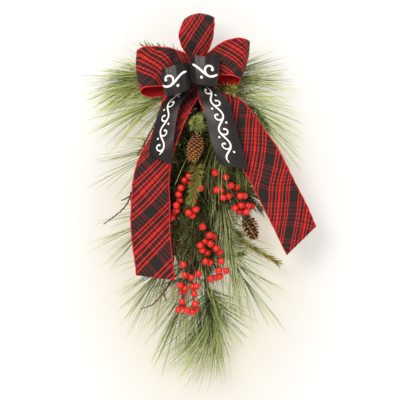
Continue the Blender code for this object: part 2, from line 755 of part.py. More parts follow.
def grow(name, path, spec, placed, draw):
    """Needles round the outer part of a stem, each drawn again until it is clear of everything placed."""
    along = unit(np.gradient(path, axis=0))
    needles = []
    for k in range(spec["count"]):
        for attempt in range(spec["tries"]):
            share = spec["start"] + (1 - spec["start"]) * (k + draw.random()) / spec["count"]
            root, direction = part_way(path, path, share), unit(part_way(path, along, share))
            first, second = across_of(direction)
            turn = k * GOLDEN_ANGLE + draw.uniform(-TURN_DRIFT, TURN_DRIFT) + RETRY_TURN * attempt
            opening = np.interp(share, (spec["start"], 1), spec["angles"])
            opening = math.radians(opening + draw.uniform(-OPENING_DRIFT, OPENING_DRIFT))
            outward = math.cos(turn) * first + math.sin(turn) * second
            heading = math.cos(opening) * direction + math.sin(opening) * outward
            tip = root + unit(heading * (1, spec["flatness"], 1)) * draw.uniform(*spec["length"])
            if keeps_away(root, tip, spec["reach"]) and placed.is_clear(name, root, tip, spec["radius"]):
                needles.append((root, tip))
                placed.add_capsules(name, root[None], tip[None], np.array([spec["radius"]]))
                break
    return needles


def berries_on(path, count):
    """Centres of the berries on a twig: left and right by turns, the last one at its end."""
    centres = []
    for i in range(count - 1):
        point = part_way(path, path, BERRY_START + (1 - BERRY_START) * i / (count - 1))
        side = BERRY_SPREAD if i % 2 else -BERRY_SPREAD
        centres.append(point + np.array([side, BERRY_WAVER * math.sin(WAVER_TURN * i), BERRY_LIFT]))
    return [*centres, path[-1]]


def cone_shapes(base, tip):
    """A pine cone: an egg-shaped core, with scales in a spiral that point towards its tip."""
    axis = unit(tip - base)
    first, second = across_of(axis)
    shares = np.linspace(0, 1, CONE_ROWS)
    rounding = np.sqrt(np.clip(1 - (2 * shares - 1) ** 2, CONE_BLUNT, 1))
    widths = CONE_RADIUS * rounding * np.interp(shares, *CONE_TAPER)
    shapes = [tube(base + np.outer(shares * CONE_LENGTH, axis), widths, CONE_SIDES)]
    for k in range(SCALE_COUNT):
        share = FIRST_SCALE + (LAST_SCALE - FIRST_SCALE) * k / SCALE_COUNT
        turn = k * GOLDEN_ANGLE
        outward = math.cos(turn) * first + math.sin(turn) * second
        core = np.interp(share, shares, widths)
        width_share = SCALE_LEAST + (1 - SCALE_LEAST) * core / CONE_RADIUS
        half = np.cross(axis, outward) * SCALE_HALF_WIDTH * width_share
        centre = base + axis * share * CONE_LENGTH
        root = centre + outward * core / 2
        rim = centre + outward * (core + SCALE_REACH) + axis * SCALE_LIFT
        top = root + axis * SCALE_THICKNESS
        lip = half * SCALE_NARROWS
        points = np.array([root - half, root + half, top, rim - lip, rim + lip])
        shapes.append((points, [[2, 1, 0], [3, 2, 0], [2, 4, 1], [3, 4, 2], [4, 3, 0], [1, 4, 0]]))
    return shapes


# The pieces, in the order in which they take their places


def make_frame(looks, placed):
    """Hanger loop, spine and binding wires."""
    centre = at(0, -LOOP_RADIUS, STANDOFF)
    radius = LOOP_RADIUS + HANGER_WIRE
    tail = bound_path(HANGER_TAIL, HANGER_WIRE)
    wire = np.full(len(tail), HANGER_WIRE)
    ring = hoop(centre, at(0, 0, 0) - at(0, 0, 1), radius, HANGER_WIRE, HANGER_AROUND, HANGER_SIDES)
    piece("hanger_loop", [ring, tube(tail, wire, HANGER_SIDES)], looks["steel"])
    placed.add_path("hanger_loop", tail, wire)
    placed.add_ball("hanger_loop", centre, radius + HANGER_WIRE)

    ends = np.array([spine_axis(SPINE_TOP), spine_axis(SPINE_FOOT)])
    wood = np.full(2, SPINE_RADIUS)
    piece("spine", [tube(ends, wood, SPINE_SIDES)], looks["spine"])
    placed.add_path("spine", ends, wood)

    inside = SPINE_RADIUS + 2 * BRANCH_RADIUS + 2 * GAP
    radius = (inside + BINDING_WIRE) / math.cos(math.pi / BINDING_SIDES)
    for number, z in enumerate(STATIONS, start=1):
        ring = hoop(spine_axis(z), ends[0] - ends[1], radius, BINDING_WIRE, BINDING_SIDES, BINDING_WIRE_SIDES)
        piece(f"binding_wire_{number}", [ring], looks["wire"])
        placed.add_ball(f"binding_wire_{number}", spine_axis(z), radius + BINDING_WIRE)


def make_ribbons(looks, placed):
    """Each ribbon piece is gathered in the middle, and the tie wire holds the tails' gather to the spine."""
    for name, ribbon in RIBBONS.items():
        width, thickness, look = CLOTHS[ribbon["cloth"]]
        shapes = [drum(**ribbon["gather"])]
        for stations, bulge, facing in ribbon["lengths"]:
            shapes.append(strip(stations, width, thickness, bulge, facing))
        piece(name, shapes, looks[look])
        for shape in shapes:
            placed.add_surface(shape)
    tie = bound_path(BOW_TIE)
    x, z, depth = BOW_TIE["through"][-1]
    knot = drum((x, z), TIE_KNOT, depth - TIE_KNOT, TAIL_GATHER["back"] - GAP)
    wire = np.full(len(tie), BRANCH_RADIUS)
    piece("bow_tie_wire", [tube(tie, wire, TIE_SIDES), knot], looks["wire"])
    placed.add_path("bow_tie_wire", tie, wire)


def make_cones(looks, placed):
    for name, cone in PINE_CONES.items():
        base, tip = at(*cone["through"][-1]), at(*cone["tip"])
        stalk = bound_path(cone)
        stalk[-1] = base + unit(tip - base) * CONE_ON_STALK
        shapes = [stem(name, stalk, BRANCH_RADIUS, TWIG_RADIUS, placed), *cone_shapes(base, tip)]
        piece(name, shapes, looks["cone"], NO_ROUND_OFF)
        inset = unit(tip - base) * CONE_RADIUS / 2
        placed.add_path(name, np.array([base + inset, tip - inset]), np.full(2, CONE_RADIUS + SCALE_REACH))


def make_berry_picks(looks, placed):
    """No berry touches one that hangs already: it moves back until it is clear."""
    apart = BERRIES_APART * BERRY_RADIUS
    hanging = []
    for name, pick in BERRY_PICKS.items():
        trunk = bound_path(pick)
        shapes = [stem(name, trunk, BRANCH_RADIUS, TWIG_RADIUS, placed)]
        for twig in pick["twigs"]:
            path = fork_path(trunk, twig["through"])
            shapes.append(stem(name, path, TWIG_RADIUS, TWIG_THINS * TWIG_RADIUS, placed))
            for centre in berries_on(path, twig["berries"]):
                while hanging and min(np.linalg.norm(centre - other) for other in hanging) < apart:
                    centre = centre + np.array([0, 1.0, 0])
                hanging.append(centre)
                above = centre + np.array([0, 0, BERRY_RADIUS])
                root = path[np.argmin(np.linalg.norm(path - above, axis=1))]
                stalk = np.array([root, centre])
                if np.linalg.norm(centre - root) > BERRY_RADIUS:
                    shapes.append(tube(stalk, np.full(2, STALK_RADIUS), STALK_SIDES))
                shapes.append(ball(centre, BALL_SHARE * BERRY_RADIUS, BERRY_SIDES, BERRY_ROWS))
                placed.add_path(name, stalk, np.full(2, STALK_RADIUS))
                placed.add_ball(name, centre, BERRY_RADIUS)
        piece(name, shapes, looks["berry"])


def make_bare_twigs(looks, placed):
    for name, twig in BARE_TWIGS.items():
        trunk = bound_path(twig)
        shapes = [stem(name, trunk, BRANCH_RADIUS, TWIG_RADIUS, placed)]
        for fork in twig["forks"]:
            shapes.append(stem(name, fork_path(trunk, fork), TWIG_END, TWIG_END / 2, placed))
        piece(name, shapes, looks["twig"])


def make_foliage(looks, placed):
    """All the stems first, so that every needle keeps clear of them, then the needles, short ones first."""
    orders = [(name, SHORT_NEEDLES | sprig, looks["fir"]) for name, sprig in FIR_SPRIGS.items()]
    orders += [(name, LONG_NEEDLES | spray, looks["pine"]) for name, spray in PINE_SPRAYS.items()]
    stems = {name: stem(name, bound_path(spec), BRANCH_RADIUS, STEM_END, placed) for name, spec, _ in orders}
    for number, (name, spec, surface) in enumerate(orders):
        needles = grow(name, bound_path(spec), spec, placed, random.Random(SEED + number))
        shapes = [stems[name], *(needle(root, tip, spec["radius"]) for root, tip in needles)]
        piece(name, shapes, surface, NO_ROUND_OFF)
        print(name, len(needles), "needles")


def main():
    for old in list(bpy.data.objects):
        bpy.data.objects.remove(old)
    placed = Placed()
    looks = dict(
        wire=material("green_florist_wire", "#33422b", 0.45, 0.6),
        steel=material("hanger_wire", "#7d7f80", 0.35, 1.0),
        spine=material("wrapped_spine", "#3c4a2c", 0.8),
        pine=material("pine_needles", "#6f8a48", 0.6),
        fir=material("fir_needles", "#4a6531", 0.6),
        twig=material("twig_bark", "#4a2f24", 0.8),
        berry=material("red_berries", "#d81f2a", 0.25),
        cone=material("pine_cone_scales", "#8a4f28", 0.75),
        tartan=material("tartan_ribbon", "#a32026", 0.75),
        satin=material("black_satin_ribbon", "#2b2a2b", 0.35),
    )
    make_frame(looks, placed)
    make_ribbons(looks, placed)
    make_cones(looks, placed)
    make_berry_picks(looks, placed)
    make_bare_twigs(looks, placed)
    make_foliage(looks, placed)


main()
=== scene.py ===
# Christmas door swag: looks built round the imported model, in metres, +Z up, seen along +Y.
# Measures below are in millimetres. x runs to the right, z up, and depth comes forward from the door.
import math
import random

import bmesh
import bpy
import numpy as np
from mathutils.bvhtree import BVHTree
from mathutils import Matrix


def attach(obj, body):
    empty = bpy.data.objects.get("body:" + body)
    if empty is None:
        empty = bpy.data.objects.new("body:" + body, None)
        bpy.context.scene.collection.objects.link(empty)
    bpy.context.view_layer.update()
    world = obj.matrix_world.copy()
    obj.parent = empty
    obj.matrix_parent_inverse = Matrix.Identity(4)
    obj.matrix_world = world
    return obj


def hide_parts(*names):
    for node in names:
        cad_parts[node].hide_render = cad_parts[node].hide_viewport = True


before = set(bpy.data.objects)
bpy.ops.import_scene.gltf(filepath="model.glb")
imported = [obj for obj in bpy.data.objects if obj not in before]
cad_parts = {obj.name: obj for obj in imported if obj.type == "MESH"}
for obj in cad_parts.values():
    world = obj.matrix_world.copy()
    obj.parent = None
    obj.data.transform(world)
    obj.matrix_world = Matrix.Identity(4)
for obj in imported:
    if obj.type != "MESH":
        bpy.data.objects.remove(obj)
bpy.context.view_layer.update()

mm = 0.001
standOff = 4.0  # the hanger ring's wire stands this far off the door
goldenAngle = math.radians(137.5)

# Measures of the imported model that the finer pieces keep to
gap = 0.3
boundLength = 16.0  # of each branch along the spine
stations = (-34.0, -66.0, -100.0, -148.0, -205.0, -256.0, -310.0, -365.0)
spine = dict(
    radius=4.0, top=-15.0, foot=-398.0, lean=-0.031, depth=22.0, rows=260, sides=28,
    tape=9.0, ridge=0.25, sunk=0.8,  # the tape's pitch, its step, and the share of the step within the stem
)
branchRadius = 1.6


def branch(station, side, *through, leaves="down", **more):
    # a stem bound at a station to a side of the spine (0 in front, 90 right); it leaves up or down the
    # spine and runs through points of x, z and depth
    return dict(station=station, side=side, through=through, leaves=leaves, **more)


hanger = dict(
    radius=9.0, wire=1.2, sides=12, points=65, tail=branch(0, 180, (0, -22, 13), (0, -19.6, 4), leaves="up"))
binding = dict(wire=0.7, turns=3, pitch=2.1, clear=1.3, steps=40)  # pitch and clear are in wire radii
bowTie = branch(
    0, 0, (-3, -14, 36), (-6, -2, 45), (-6, 2, 53), leaves="up", wire=0.8, strand=0.75, twists=9,
    knot=dict(radius=3.2, turns=4, back=2.4, length=4.2, steps=130),
)


# Points and curves


def at(x, z, depth):
    return np.array([x, standOff - depth, z], float)


def unit(vectors):
    vectors = np.asarray(vectors, float)
    return vectors / np.linalg.norm(vectors, axis=-1, keepdims=True)


def turnsOf(count):
    return 2 * math.pi * np.arange(count) / count


def circle(turns):
    return np.stack([np.cos(turns), np.sin(turns)], axis=-1)


def spokes(turns, first, second):
    return np.cos(turns)[:, None] * first + np.sin(turns)[:, None] * second


def spoke(turn, first, second):
    return math.cos(turn) * first + math.sin(turn) * second


def curveThrough(points, steps):
    points = [np.asarray(p, float) for p in points]
    ends = [2 * points[0] - points[1], *points, 2 * points[-1] - points[-2]]
    curve = []
    for a, b, c, d in zip(ends, ends[1:], ends[2:], ends[3:]):
        bend, twist = a - 2.5 * b + 2 * c - d / 2, 1.5 * (b - c) + (d - a) / 2
        for t in np.arange(steps) / steps:
            curve.append(b + (c - a) * t / 2 + bend * t**2 + twist * t**3)
    return np.array([*curve, points[-1]])


def onwardFrom(start, points, steps):
    return curveThrough([start, *(at(*p) for p in points)], steps)


def acrossOf(direction):
    guide = np.array([0.0, 1.0, 0.0]) if abs(direction[1]) < 0.9 else np.array([1.0, 0.0, 0.0])
    first = unit(guide - direction * guide.dot(direction))
    return first, np.cross(direction, first)


def eitherWay(draw, most):
    return draw.uniform(-most, most)


def spineAt(z):
    return at(spine["lean"] * (z - spine["top"]), z, spine["depth"])


def lengthsOf(path):
    return np.concatenate([[0], np.cumsum(np.linalg.norm(np.diff(path, axis=0), axis=1))])


def partWay(path, values, share):
    lengths = lengthsOf(path)
    return np.array([np.interp(share * lengths[-1], lengths, column) for column in values.T])


def boundPath(branch, steps, radius=branchRadius):
    # from its binding on the spine out through its points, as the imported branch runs
    z = stations[branch["station"]]
    half = (1 if branch["leaves"] == "up" else -1) * boundLength / 2
    turn = math.radians(branch["side"])
    offset = (spine["radius"] + gap + radius) * np.array([math.sin(turn), -math.cos(turn), 0])
    bound = [spineAt(z - half) + offset, spineAt(z + half) + offset]
    return np.array([bound[0], *onwardFrom(bound[1], branch["through"], steps)])


# Meshes


class Parts:
    # the shapes of one piece: points, faces, the material of each face, and map places for each point
    def __init__(self):
        self.points = []
        self.places = []
        self.faces = []
        self.looks = []
        self.count = 0

    def add(self, points, faces, look=0, places=None):
        points = np.asarray(points, float).reshape(-1, 3)
        self.points.append(points)
        self.places.append(np.zeros((len(points), 2)) if places is None else places.reshape(-1, 2))
        self.addFaces(faces, look, self.count)
        self.count += len(points)

    def addFaces(self, faces, look, first):
        faces = faces.tolist() if isinstance(faces, np.ndarray) else faces
        self.faces.extend([v + first for v in face] for face in faces)
        self.looks.extend([look] * len(faces))


def makePiece(name, parts, looks, slotName, *nodes, sharp=40):
    mesh = bpy.data.meshes.new(name)
    mesh.from_pydata((np.concatenate(parts.points) * mm).tolist(), [], parts.faces)
    mesh.polygons.foreach_set("material_index", parts.looks)
    corners = np.empty(len(mesh.loops), np.int32)
    mesh.loops.foreach_get("vertex_index", corners)
    lay = mesh.uv_layers.new(name="lay")
    lay.data.foreach_set("uv", np.concatenate(parts.places)[corners].ravel())
    for look in looks:
        mesh.materials.append(look)
    shell = bmesh.new()
    shell.from_mesh(mesh)
    bmesh.ops.recalc_face_normals(shell, faces=shell.faces)
    shell.to_mesh(mesh)
    shell.free()
    mesh.shade_smooth()
    mesh.set_sharp_from_angle(angle=math.radians(sharp))
    piece = bpy.data.objects.new(name, mesh)
    bpy.context.scene.collection.objects.link(piece)
    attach(piece, "root")
    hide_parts(*nodes)
    return piece


def gridFaces(rows, columns, around=False):
    i = np.arange(rows - 1)[:, None] * columns
    j = np.arange(columns if around else columns - 1)[None]
    k = (j + 1) % columns
    return np.stack([i + j, i + k, i + columns + k, i + columns + j], axis=-1).reshape(-1, 4)


def tubeFaces(rows, around, flip=False):
    # rings of points joined in turn, with a face over each end
    order = -1 if flip else 1
    ends = [list(range(around))[::-order], [(rows - 1) * around + j for j in range(around)][::order]]
    return gridFaces(rows, around, True)[:, ::order].tolist() + ends


def addTube(parts, path, radii, sides, look=0, tint=0.5):
    # radii: one for the whole path, one for each point, or a pair for its two ends
    path = np.asarray(path, float)
    radii = np.linspace(*radii, len(path)) if isinstance(radii, tuple) else np.broadcast_to(radii, len(path))
    along = unit(np.gradient(path, axis=0))
    normal = acrossOf(along[0])[0]
    rings = []
    for centre, direction, radius in zip(path, along, radii):
        normal = unit(normal - direction * normal.dot(direction))
        rings.append(centre + radius * spokes(turnsOf(sides), normal, np.cross(direction, normal)))
    share = lengthsOf(path) / lengthsOf(path)[-1]
    places = np.stack([np.repeat(share, sides), np.full(len(path) * sides, tint)], axis=1)
    parts.add(np.concatenate(rings), tubeFaces(len(path), sides), look, places)


poleGap = 0.02  # of a ball's height is left to the small face at each pole


def addBall(parts, centre, radius, around, rows, look=0, squash=1.0, pole=(0, 0, 1), tint=0.5):
    pole = unit(pole)
    slopes = math.pi * (np.arange(rows + 1) / rows).clip(poleGap, 1 - poleGap)
    level = spokes(turnsOf(around), *acrossOf(pole))
    rings = np.sin(slopes)[:, None, None] * level + squash * np.cos(slopes)[:, None, None] * pole
    places = np.stack([np.repeat(slopes / math.pi, around), np.full((rows + 1) * around, tint)], axis=1)
    parts.add(centre + radius * rings, tubeFaces(rows + 1, around, True), look, places)


strandRows = np.array((0, 0.12, 0.4, 0.7, 0.9, 1))
strandSwell = np.interp(strandRows, (0, 0.12, 0.7, 0.9, 1), (0.75, 1, 0.9, 0.6, 0.12))
strandSides = 3


def addStrands(parts, roots, reaches, bends, radius, tints):
    # many tapered strands at once: each runs from its root by reach, bent aside by bend
    roots, reaches, bends = (np.asarray(v, float)[:, None] for v in (roots, reaches, bends))
    lines = roots + reaches * strandRows[None, :, None] + bends * (strandRows**2)[None, :, None]
    axis = unit(reaches)
    guide = np.where(np.abs(axis[..., 1:2]) < 0.9, [0.0, 1.0, 0.0], [1.0, 0.0, 0.0])
    first = unit(np.cross(axis, guide))
    second = np.cross(axis, first)
    rings = lines[:, :, None] + (strandSwell * radius)[None, :, None, None] * spokes(
        turnsOf(strandSides), first[:, :, None], second[:, :, None])
    count, size = len(lines), len(strandRows) * strandSides
    faces = gridFaces(len(strandRows), strandSides, True)[None] + (np.arange(count) * size)[:, None, None]
    shares = np.tile(np.repeat(strandRows, strandSides), count)
    parts.add(rings, faces.reshape(-1, 4), 0, np.stack([shares, np.repeat(tints, size)], axis=-1))


# Materials


def srgb(code):
    channels = [int(code[i : i + 2], 16) / 255 for i in (1, 3, 5)]
    return [c / 12.92 if c <= 0.04045 else ((c + 0.055) / 1.055) ** 2.4 for c in channels] + [1.0]


def grey(value):
    return [value, value, value, 1.0]


def feed(tree, socket, value):
    # a link where the value is another node's output, else a fixed value
    if isinstance(value, bpy.types.NodeSocket):
        tree.links.new(value, socket)
    else:
        socket.default_value = srgb(value) if isinstance(value, str) else value


def newMaterial(name, roughness, **settings):
    made = bpy.data.materials.new(name)
    made.use_nodes = True
    tree = made.node_tree
    shader = tree.nodes["Principled BSDF"]
    for socket, value in (dict(Roughness=roughness) | settings).items():
        feed(tree, shader.inputs[socket.replace("_", " ")], value)
    return made, tree, shader


def addNode(tree, kind, links=None, settings=None, values=None):
    # one node with its settings, its unlinked values, and links {input: output of another node}
    node = tree.nodes.new("ShaderNode" + kind)
    for name, value in (settings or {}).items():
        setattr(node, name, value)
    for name, value in ((links or {}) | (values or {})).items():
        feed(tree, node.inputs[name], value)
    return node


def rampOf(tree, source, stops, smooth="LINEAR"):
    node = addNode(tree, "ValToRGB", {"Fac": source})
    node.color_ramp.interpolation = smooth
    for place, colour in stops[2:]:
        node.color_ramp.elements.new(place)
    for element, (place, colour) in zip(node.color_ramp.elements, sorted(stops)):
        element.position = place
        element.color = colour if isinstance(colour, list) else srgb(colour)
    return node.outputs["Color"]


def mixOf(tree, share, first, second):
    node = addNode(tree, "Mix", {0: share}, {"data_type": "RGBA"}, {6: first, 7: second})
    return node.outputs[2]


def mathOf(tree, operation, *values):
    return addNode(tree, "Math", dict(enumerate(values)), {"operation": operation}).outputs[0]


def scaled(tree, source, factor):
    return mathOf(tree, "MULTIPLY", source, factor)


def bumpOn(tree, shader, height, distance, strength):
    node = addNode(tree, "Bump", {"Height": height}, values={"Distance": distance * mm, "Strength": strength})
    tree.links.new(node.outputs["Normal"], shader.inputs["Normal"])


def layOf(tree):
    # the map in which ribbons hold (across, along) in millimetres, and strands (root to tip, tint)
    parts = addNode(tree, "SeparateXYZ", {0: addNode(tree, "UVMap", settings={"uv_map": "lay"}).outputs[0]})
    return parts.outputs[0], parts.outputs[1]


def noiseOf(tree, scale, detail, stretch=(1, 1, 1)):
    # noise on the object's own coordinates, with its grain in millimetres
    place = addNode(tree, "TexCoord").outputs["Object"]
    place = addNode(tree, "Mapping", {"Vector": place}, values={"Scale": stretch}).outputs[0]
    values = {"Scale": 1 / (scale * mm), "Detail": detail}
    return addNode(tree, "TexNoise", {"Vector": place}, values=values).outputs[0]


def grainedMaterial(name, roughness, low, high, grain, relief=None, **settings):
    # two tones that a grain blends (its size in millimetres and detail), and a relief of
    # (its own grain, height in millimetres, strength)
    made, tree, shader = newMaterial(name, roughness, **settings)
    feed(tree, shader.inputs["Base Color"], mixOf(tree, noiseOf(tree, *grain), low, high))
    if relief:
        bumpOn(tree, shader, noiseOf(tree, *relief[0]), *relief[1:])
    return made


# Ribbons

# Ribbon stations: x, z, depth, angle of the width to the horizontal, share of the width that lies open,
# and how far the second edge leans towards the viewer, in degrees
topLoop = (
    (-5, 7, 74, 0, 0.28, 0), (-6, 18, 79, 0, 0.5, 0), (-6, 36, 85, 5, 0.78, 0), (-6, 56, 88, 9, 0.9, 0),
    (-3, 71, 86, 6, 0.82, 0), (-1, 78, 80, 2, 0.75, 0), (-1, 76, 73, 0, 0.72, 0),
    (-3, 66, 68, 0, 0.7, 0), (-4, 48, 67, 0, 0.6, 0), (-5, 24, 67, 0, 0.36, 0), (-5, 7, 66, 0, 0.26, 0),
)
leftLoop = (
    (-10, 2, 72, -90, 0.26, 0), (-25, 3, 76, -90, 0.5, 0), (-49, -3, 87, -92, 0.92, 0),
    (-72, -3, 93, -91, 1.0, 0), (-91, -4, 97, -89, 1.02, 0), (-101, -8, 92, -87, 1.02, 0),
    (-103, -12, 84, -86, 1.01, 0), (-98, -16, 75, -87, 1.01, 0), (-82, -20, 68, -90, 1.0, 0),
    (-54, -18, 65, -90, 0.92, 0), (-27, -7, 65, -90, 0.5, 0), (-10, 0, 66, -90, 0.26, 0),
)
rightLoop = (
    (-2, 2, 72, -90, 0.26, 0), (12, 4, 76, -92, 0.48, 0), (31, 9, 88, -96, 0.8, 0),
    (50, 13, 95, -98, 0.92, 0), (65, 12, 97, -101, 0.98, 0), (73, 9, 91, -103, 0.98, 0),
    (75, 5, 83, -104, 0.98, 0), (70, -1, 75, -104, 0.96, 0), (55, -3, 68, -99, 0.92, 0),
    (32, -4, 65, -95, 0.8, 0), (12, -1, 65, -93, 0.49, 0), (-2, 0, 66, -90, 0.26, 0),
)
leftTail = (
    (-8, 3, 58.5, 0, 0.23, 0), (-12, -14, 57.5, -2, 0.36, 0), (-19, -31, 57, 2, 0.64, 0),
    (-30, -51, 61, 6, 0.9, 0), (-39, -70, 69, 10, 0.9, 10), (-49, -95, 77, 13, 0.88, 16),
    (-60, -121, 84, 12, 0.88, 18), (-72, -147, 88, 9, 0.88, 14), (-79, -174, 90, 4, 0.9, 8),
    (-83, -203, 90, -1, 0.93, 2), (-83, -232, 88, -2, 0.97, -4), (-84, -264, 86, -3, 1.0, -8),
    (-82, -299, 83, -6, 1.0, -6), (-78, -332, 80, -8, 1.0, 4), (-75, -359, 80, -7, 1.0, 8),
)
rightTail = (
    (-4, 3, 58.5, 0, 0.23, 0), (3, -18, 57.5, -6, 0.31, 0), (9, -37, 58, 2, 0.44, 0),
    (23, -54, 63, 10, 0.74, 0), (37, -68, 70, 19, 0.96, 0), (52, -87, 76, 29, 1.02, -6),
    (70, -111, 80, 35, 1.03, -10), (86, -134, 83, 37, 1.03, -8), (99, -154, 84, 34, 1.03, -2),
    (113, -178, 84, 32, 1.02, 4), (125, -202, 82, 31, 1.01, 8), (137, -226, 80, 32, 1.01, 6),
    (151, -253, 78, 35, 1.02, 0), (163, -279, 78, 40, 1.03, -6), (171, -297, 80, 44, 1.04, -8),
)
satinLeftLoop = (
    (-10, -12, 85, -90, 0.3, 0), (-21, -20, 92, -84, 0.96, 0), (-37, -25, 98, -81, 1.0, 0),
    (-54, -30, 101, -79, 1.0, 0), (-61, -32, 106, -79, 1.0, 0), (-58, -31, 112, -79, 1.0, 0),
    (-46, -28, 116, -80, 1.0, 0), (-31, -23, 115, -82, 1.0, 0), (-22, -20, 108, -84, 0.96, 0),
    (-17, -17, 99, -86, 0.72, 0), (-11, -12, 91, -90, 0.3, 0),
)
satinRightLoop = (
    (-10, -12, 87, -90, 0.3, 0), (-1, -12, 94, -91, 0.94, 0), (14, -13, 99, -94, 1.0, 0),
    (25, -14, 103, -96, 1.0, 0), (30, -14, 109, -97, 1.0, 0), (26, -14, 115, -95, 1.0, 0),
    (14, -13, 119, -92, 1.02, 0), (-1, -11, 119, -88, 1.03, 0), (-12, -9, 113, -86, 1.03, 0),
    (-14, -9, 104, -86, 0.8, 0), (-10, -11, 92, -90, 0.3, 0),
)
satinLeftTail = (
    (-12, -8, 78, 0, 0.26, 0), (-14, -23, 78.5, 0, 0.3, 0), (-24, -37, 82, 0, 0.5, 8),
    (-37, -50, 88, 3, 0.7, 18), (-49, -69, 93, 4, 0.8, 28), (-56, -89, 97, 4, 0.86, 32),
    (-61, -116, 100, 2, 0.88, 28), (-65, -140, 101, -4, 0.92, 20), (-66, -160, 99, -26, 0.88, 14),
)
satinRightTail = (
    (-6, -8, 78, 0, 0.26, 0), (-2, -23, 78.5, 0, 0.3, 0), (7, -36, 83, 6, 0.5, 0),
    (17, -50, 90, 8, 0.78, 0), (27, -68, 98, 5, 0.98, 0), (34, -94, 103, 2, 1.0, 0),
    (41, -122, 105, -1, 1.02, 0), (48, -147, 105, -3, 1.04, 0), (55, -172, 104, -12, 1.08, 0),
)

tartan = dict(
    slot="tartan_ribbon", width=66.0, thickness=0.7, columns=26, steps=7, edgeWire=1.05,
    # red lines of one set, from its middle outwards: place and width; the set repeats at each period
    lines=((0.0, 4.0), (6.2, 2.0), (13.4, 2.0), (18.4, 2.0)),
    crossLines=((0.0, 1.6), (6.2, 1.6), (13.2, 1.8), (17.2, 1.8)), period=56.0,
    red="#d8201f", redDeep="#a81a1c", redBright="#f0322c", dimRed="#6c2327",
    # the reverse tones are darkened as painted shade for the insides of the loops
    ground="#1f211d", groundBrown="#2f2723", reverse="#860b0e", reverseLit="#b01315",
    edge="#e2222a", edgeDeep="#c81a20", dimOnGround=0.85, dimOnRed=0.8, bright=0.96,
)
satin = dict(
    slot="black_satin_ribbon", width=47.0, thickness=0.5, columns=24, steps=9,
    # groundLit is the lighter black of the painted mottled sheen
    ground="#121011", groundLit="#1f1b1c",
    tint="#fff3f4", print="#ffffff", printGrey="#efeeea", printLifts=(0.1, 0.55),
)
# the printed vine: its wave, the curl in each bend and how far it winds in, its dots, its strokes, which
# thin out from their middle to their tips, and how far its parts keep from its ends
scroll = dict(
    height=6.4, length=50.0, step=1.5, curl=9.0, windIn=0.72, curlTurn=1.5 * math.pi, curlSteps=22,
    curlWeight=0.85, dot=1.9, dotAside=8.8, dotPoints=14, stroke=1.5, thinning=9, tipShare=0.35,
    start=4, end=3, dotEnd=6,
)

# Each length: its stations, how far and to which face it bulges, its soft waves (height, length, slant),
# its folds (v and s of both ends, height, width), and how its plaid lies: the turn of its lines off the
# ribbon's length at places along it, as the pulled bias weave drifts, and the scale and start of both sets
ribbonPieces = dict(
    tartan_tails=dict(cloth=tartan, gather=dict(centre=(-6, 3), radius=8.0, back=56.0, front=61.4), lengths=(
        dict(stations=leftTail, bulge=3, facing=1, wave=(1.6, 120, 0.9),
             plaid=dict(turns=((0, 44), (400, 44)), scale=(1.16, 1.08), start=(33.4, 15.2)),
             folds=((250, -0.6, 268, 1.0, 2.5, 14), (330, -1.0, 300, 0.2, -2.0, 10))),
        dict(stations=rightTail, bulge=3, facing=1, wave=(1.8, 135, -0.8),
             plaid=dict(turns=((0, 38), (160, 38), (235, 43), (262, 30), (300, 35), (345, 44)),
                        scale=(0.95, 1.02), start=(48, 42)),
             folds=((60, -1.0, 74, 1.0, 3.0, 9), (196, -1.0, 170, 1.0, -3.5, 15),
                    (236, -1.0, 222, 1.0, 3.0, 14))),
    )),
    tartan_bow=dict(cloth=tartan, gather=dict(centre=(-6, 2), radius=9.0, back=61.8, front=76.0), lengths=(
        dict(stations=topLoop, bulge=11, facing=-1, wave=(0.7, 60, 0.5),
             plaid=dict(turns=((0, 42), (200, 42)), scale=(1.11, 0.93), start=(1.1, 10.5)),
             folds=((20, -0.2, 62, 0.45, -3.0, 7), (30, 0.6, 70, 0.9, 2.0, 8))),
        dict(stations=leftLoop, bulge=4, facing=1, wave=(0.9, 70, 0.6),
             plaid=dict(turns=((0, 84), (20, 74), (34, 70), (48, 57), (60, 47), (68, 34), (78, 31), (92, 44),
                               (104, 32)), scale=(1.0, 1.0), start=(51.3, 19)),
             folds=((34, -0.9, 40, 0.3, -4.0, 6), (48, -0.8, 56, 0.5, 2.5, 8), (20, 0.1, 52, 0.8, -2.5, 8))),
        dict(stations=rightLoop, bulge=4, facing=-1, wave=(0.9, 70, 0.6),
             plaid=dict(turns=((0, 60), (20, 48), (40, 41), (66, 37), (78, 42), (90, 36)), scale=(0.95, 0.95),
                        start=(47.6, 4)),
             folds=((22, 0.6, 60, 0.2, 2.5, 8), (28, -0.8, 60, -0.5, -2.0, 8))),
    )),
    satin_tails=dict(cloth=satin, gather=dict(centre=(-9, -8), radius=6.5, back=76.4, front=79.6), lengths=(
        dict(stations=satinLeftTail, bulge=3, facing=1, wave=(0.8, 70, 0.8), printFrom=34, printTo=5),
        dict(stations=satinRightTail, bulge=3, facing=1, wave=(0.8, 80, -0.8), printFrom=30, printTo=2),
    )),
    satin_bow=dict(cloth=satin, gather=dict(centre=(-10, -12), radius=7.0, back=80.0, front=93.0), lengths=(
        dict(stations=satinLeftLoop, bulge=2, facing=-1, wave=(0.7, 17, 0.0), frontAt=0.7,
             printFrom=57, printTo=20, printScale=1.25),
        dict(stations=satinRightLoop, bulge=2, facing=1, wave=(0.7, 17, 0.0), frontAt=0.7,
             printFrom=48, printTo=20, printScale=1.25),
    )),
)
pleats = dict(count=3, depth=2.6, fromShare=0.8)
opening = dict(share=0.3, run=0.5)  # waves grow from this open share on, where the ribbon opens out
plaidDrift = dict(size=1.2, length=23, slant=1.2)
edgeRipple = dict(share=0.01, length=3.1, slant=1.3)
drum = dict(
    points=56, ridges=14, ridge=0.05, insets=((0, 0.8), (0.06, 0.97), (0.5, 0.9), (0.94, 0.97), (1, 0.8)))


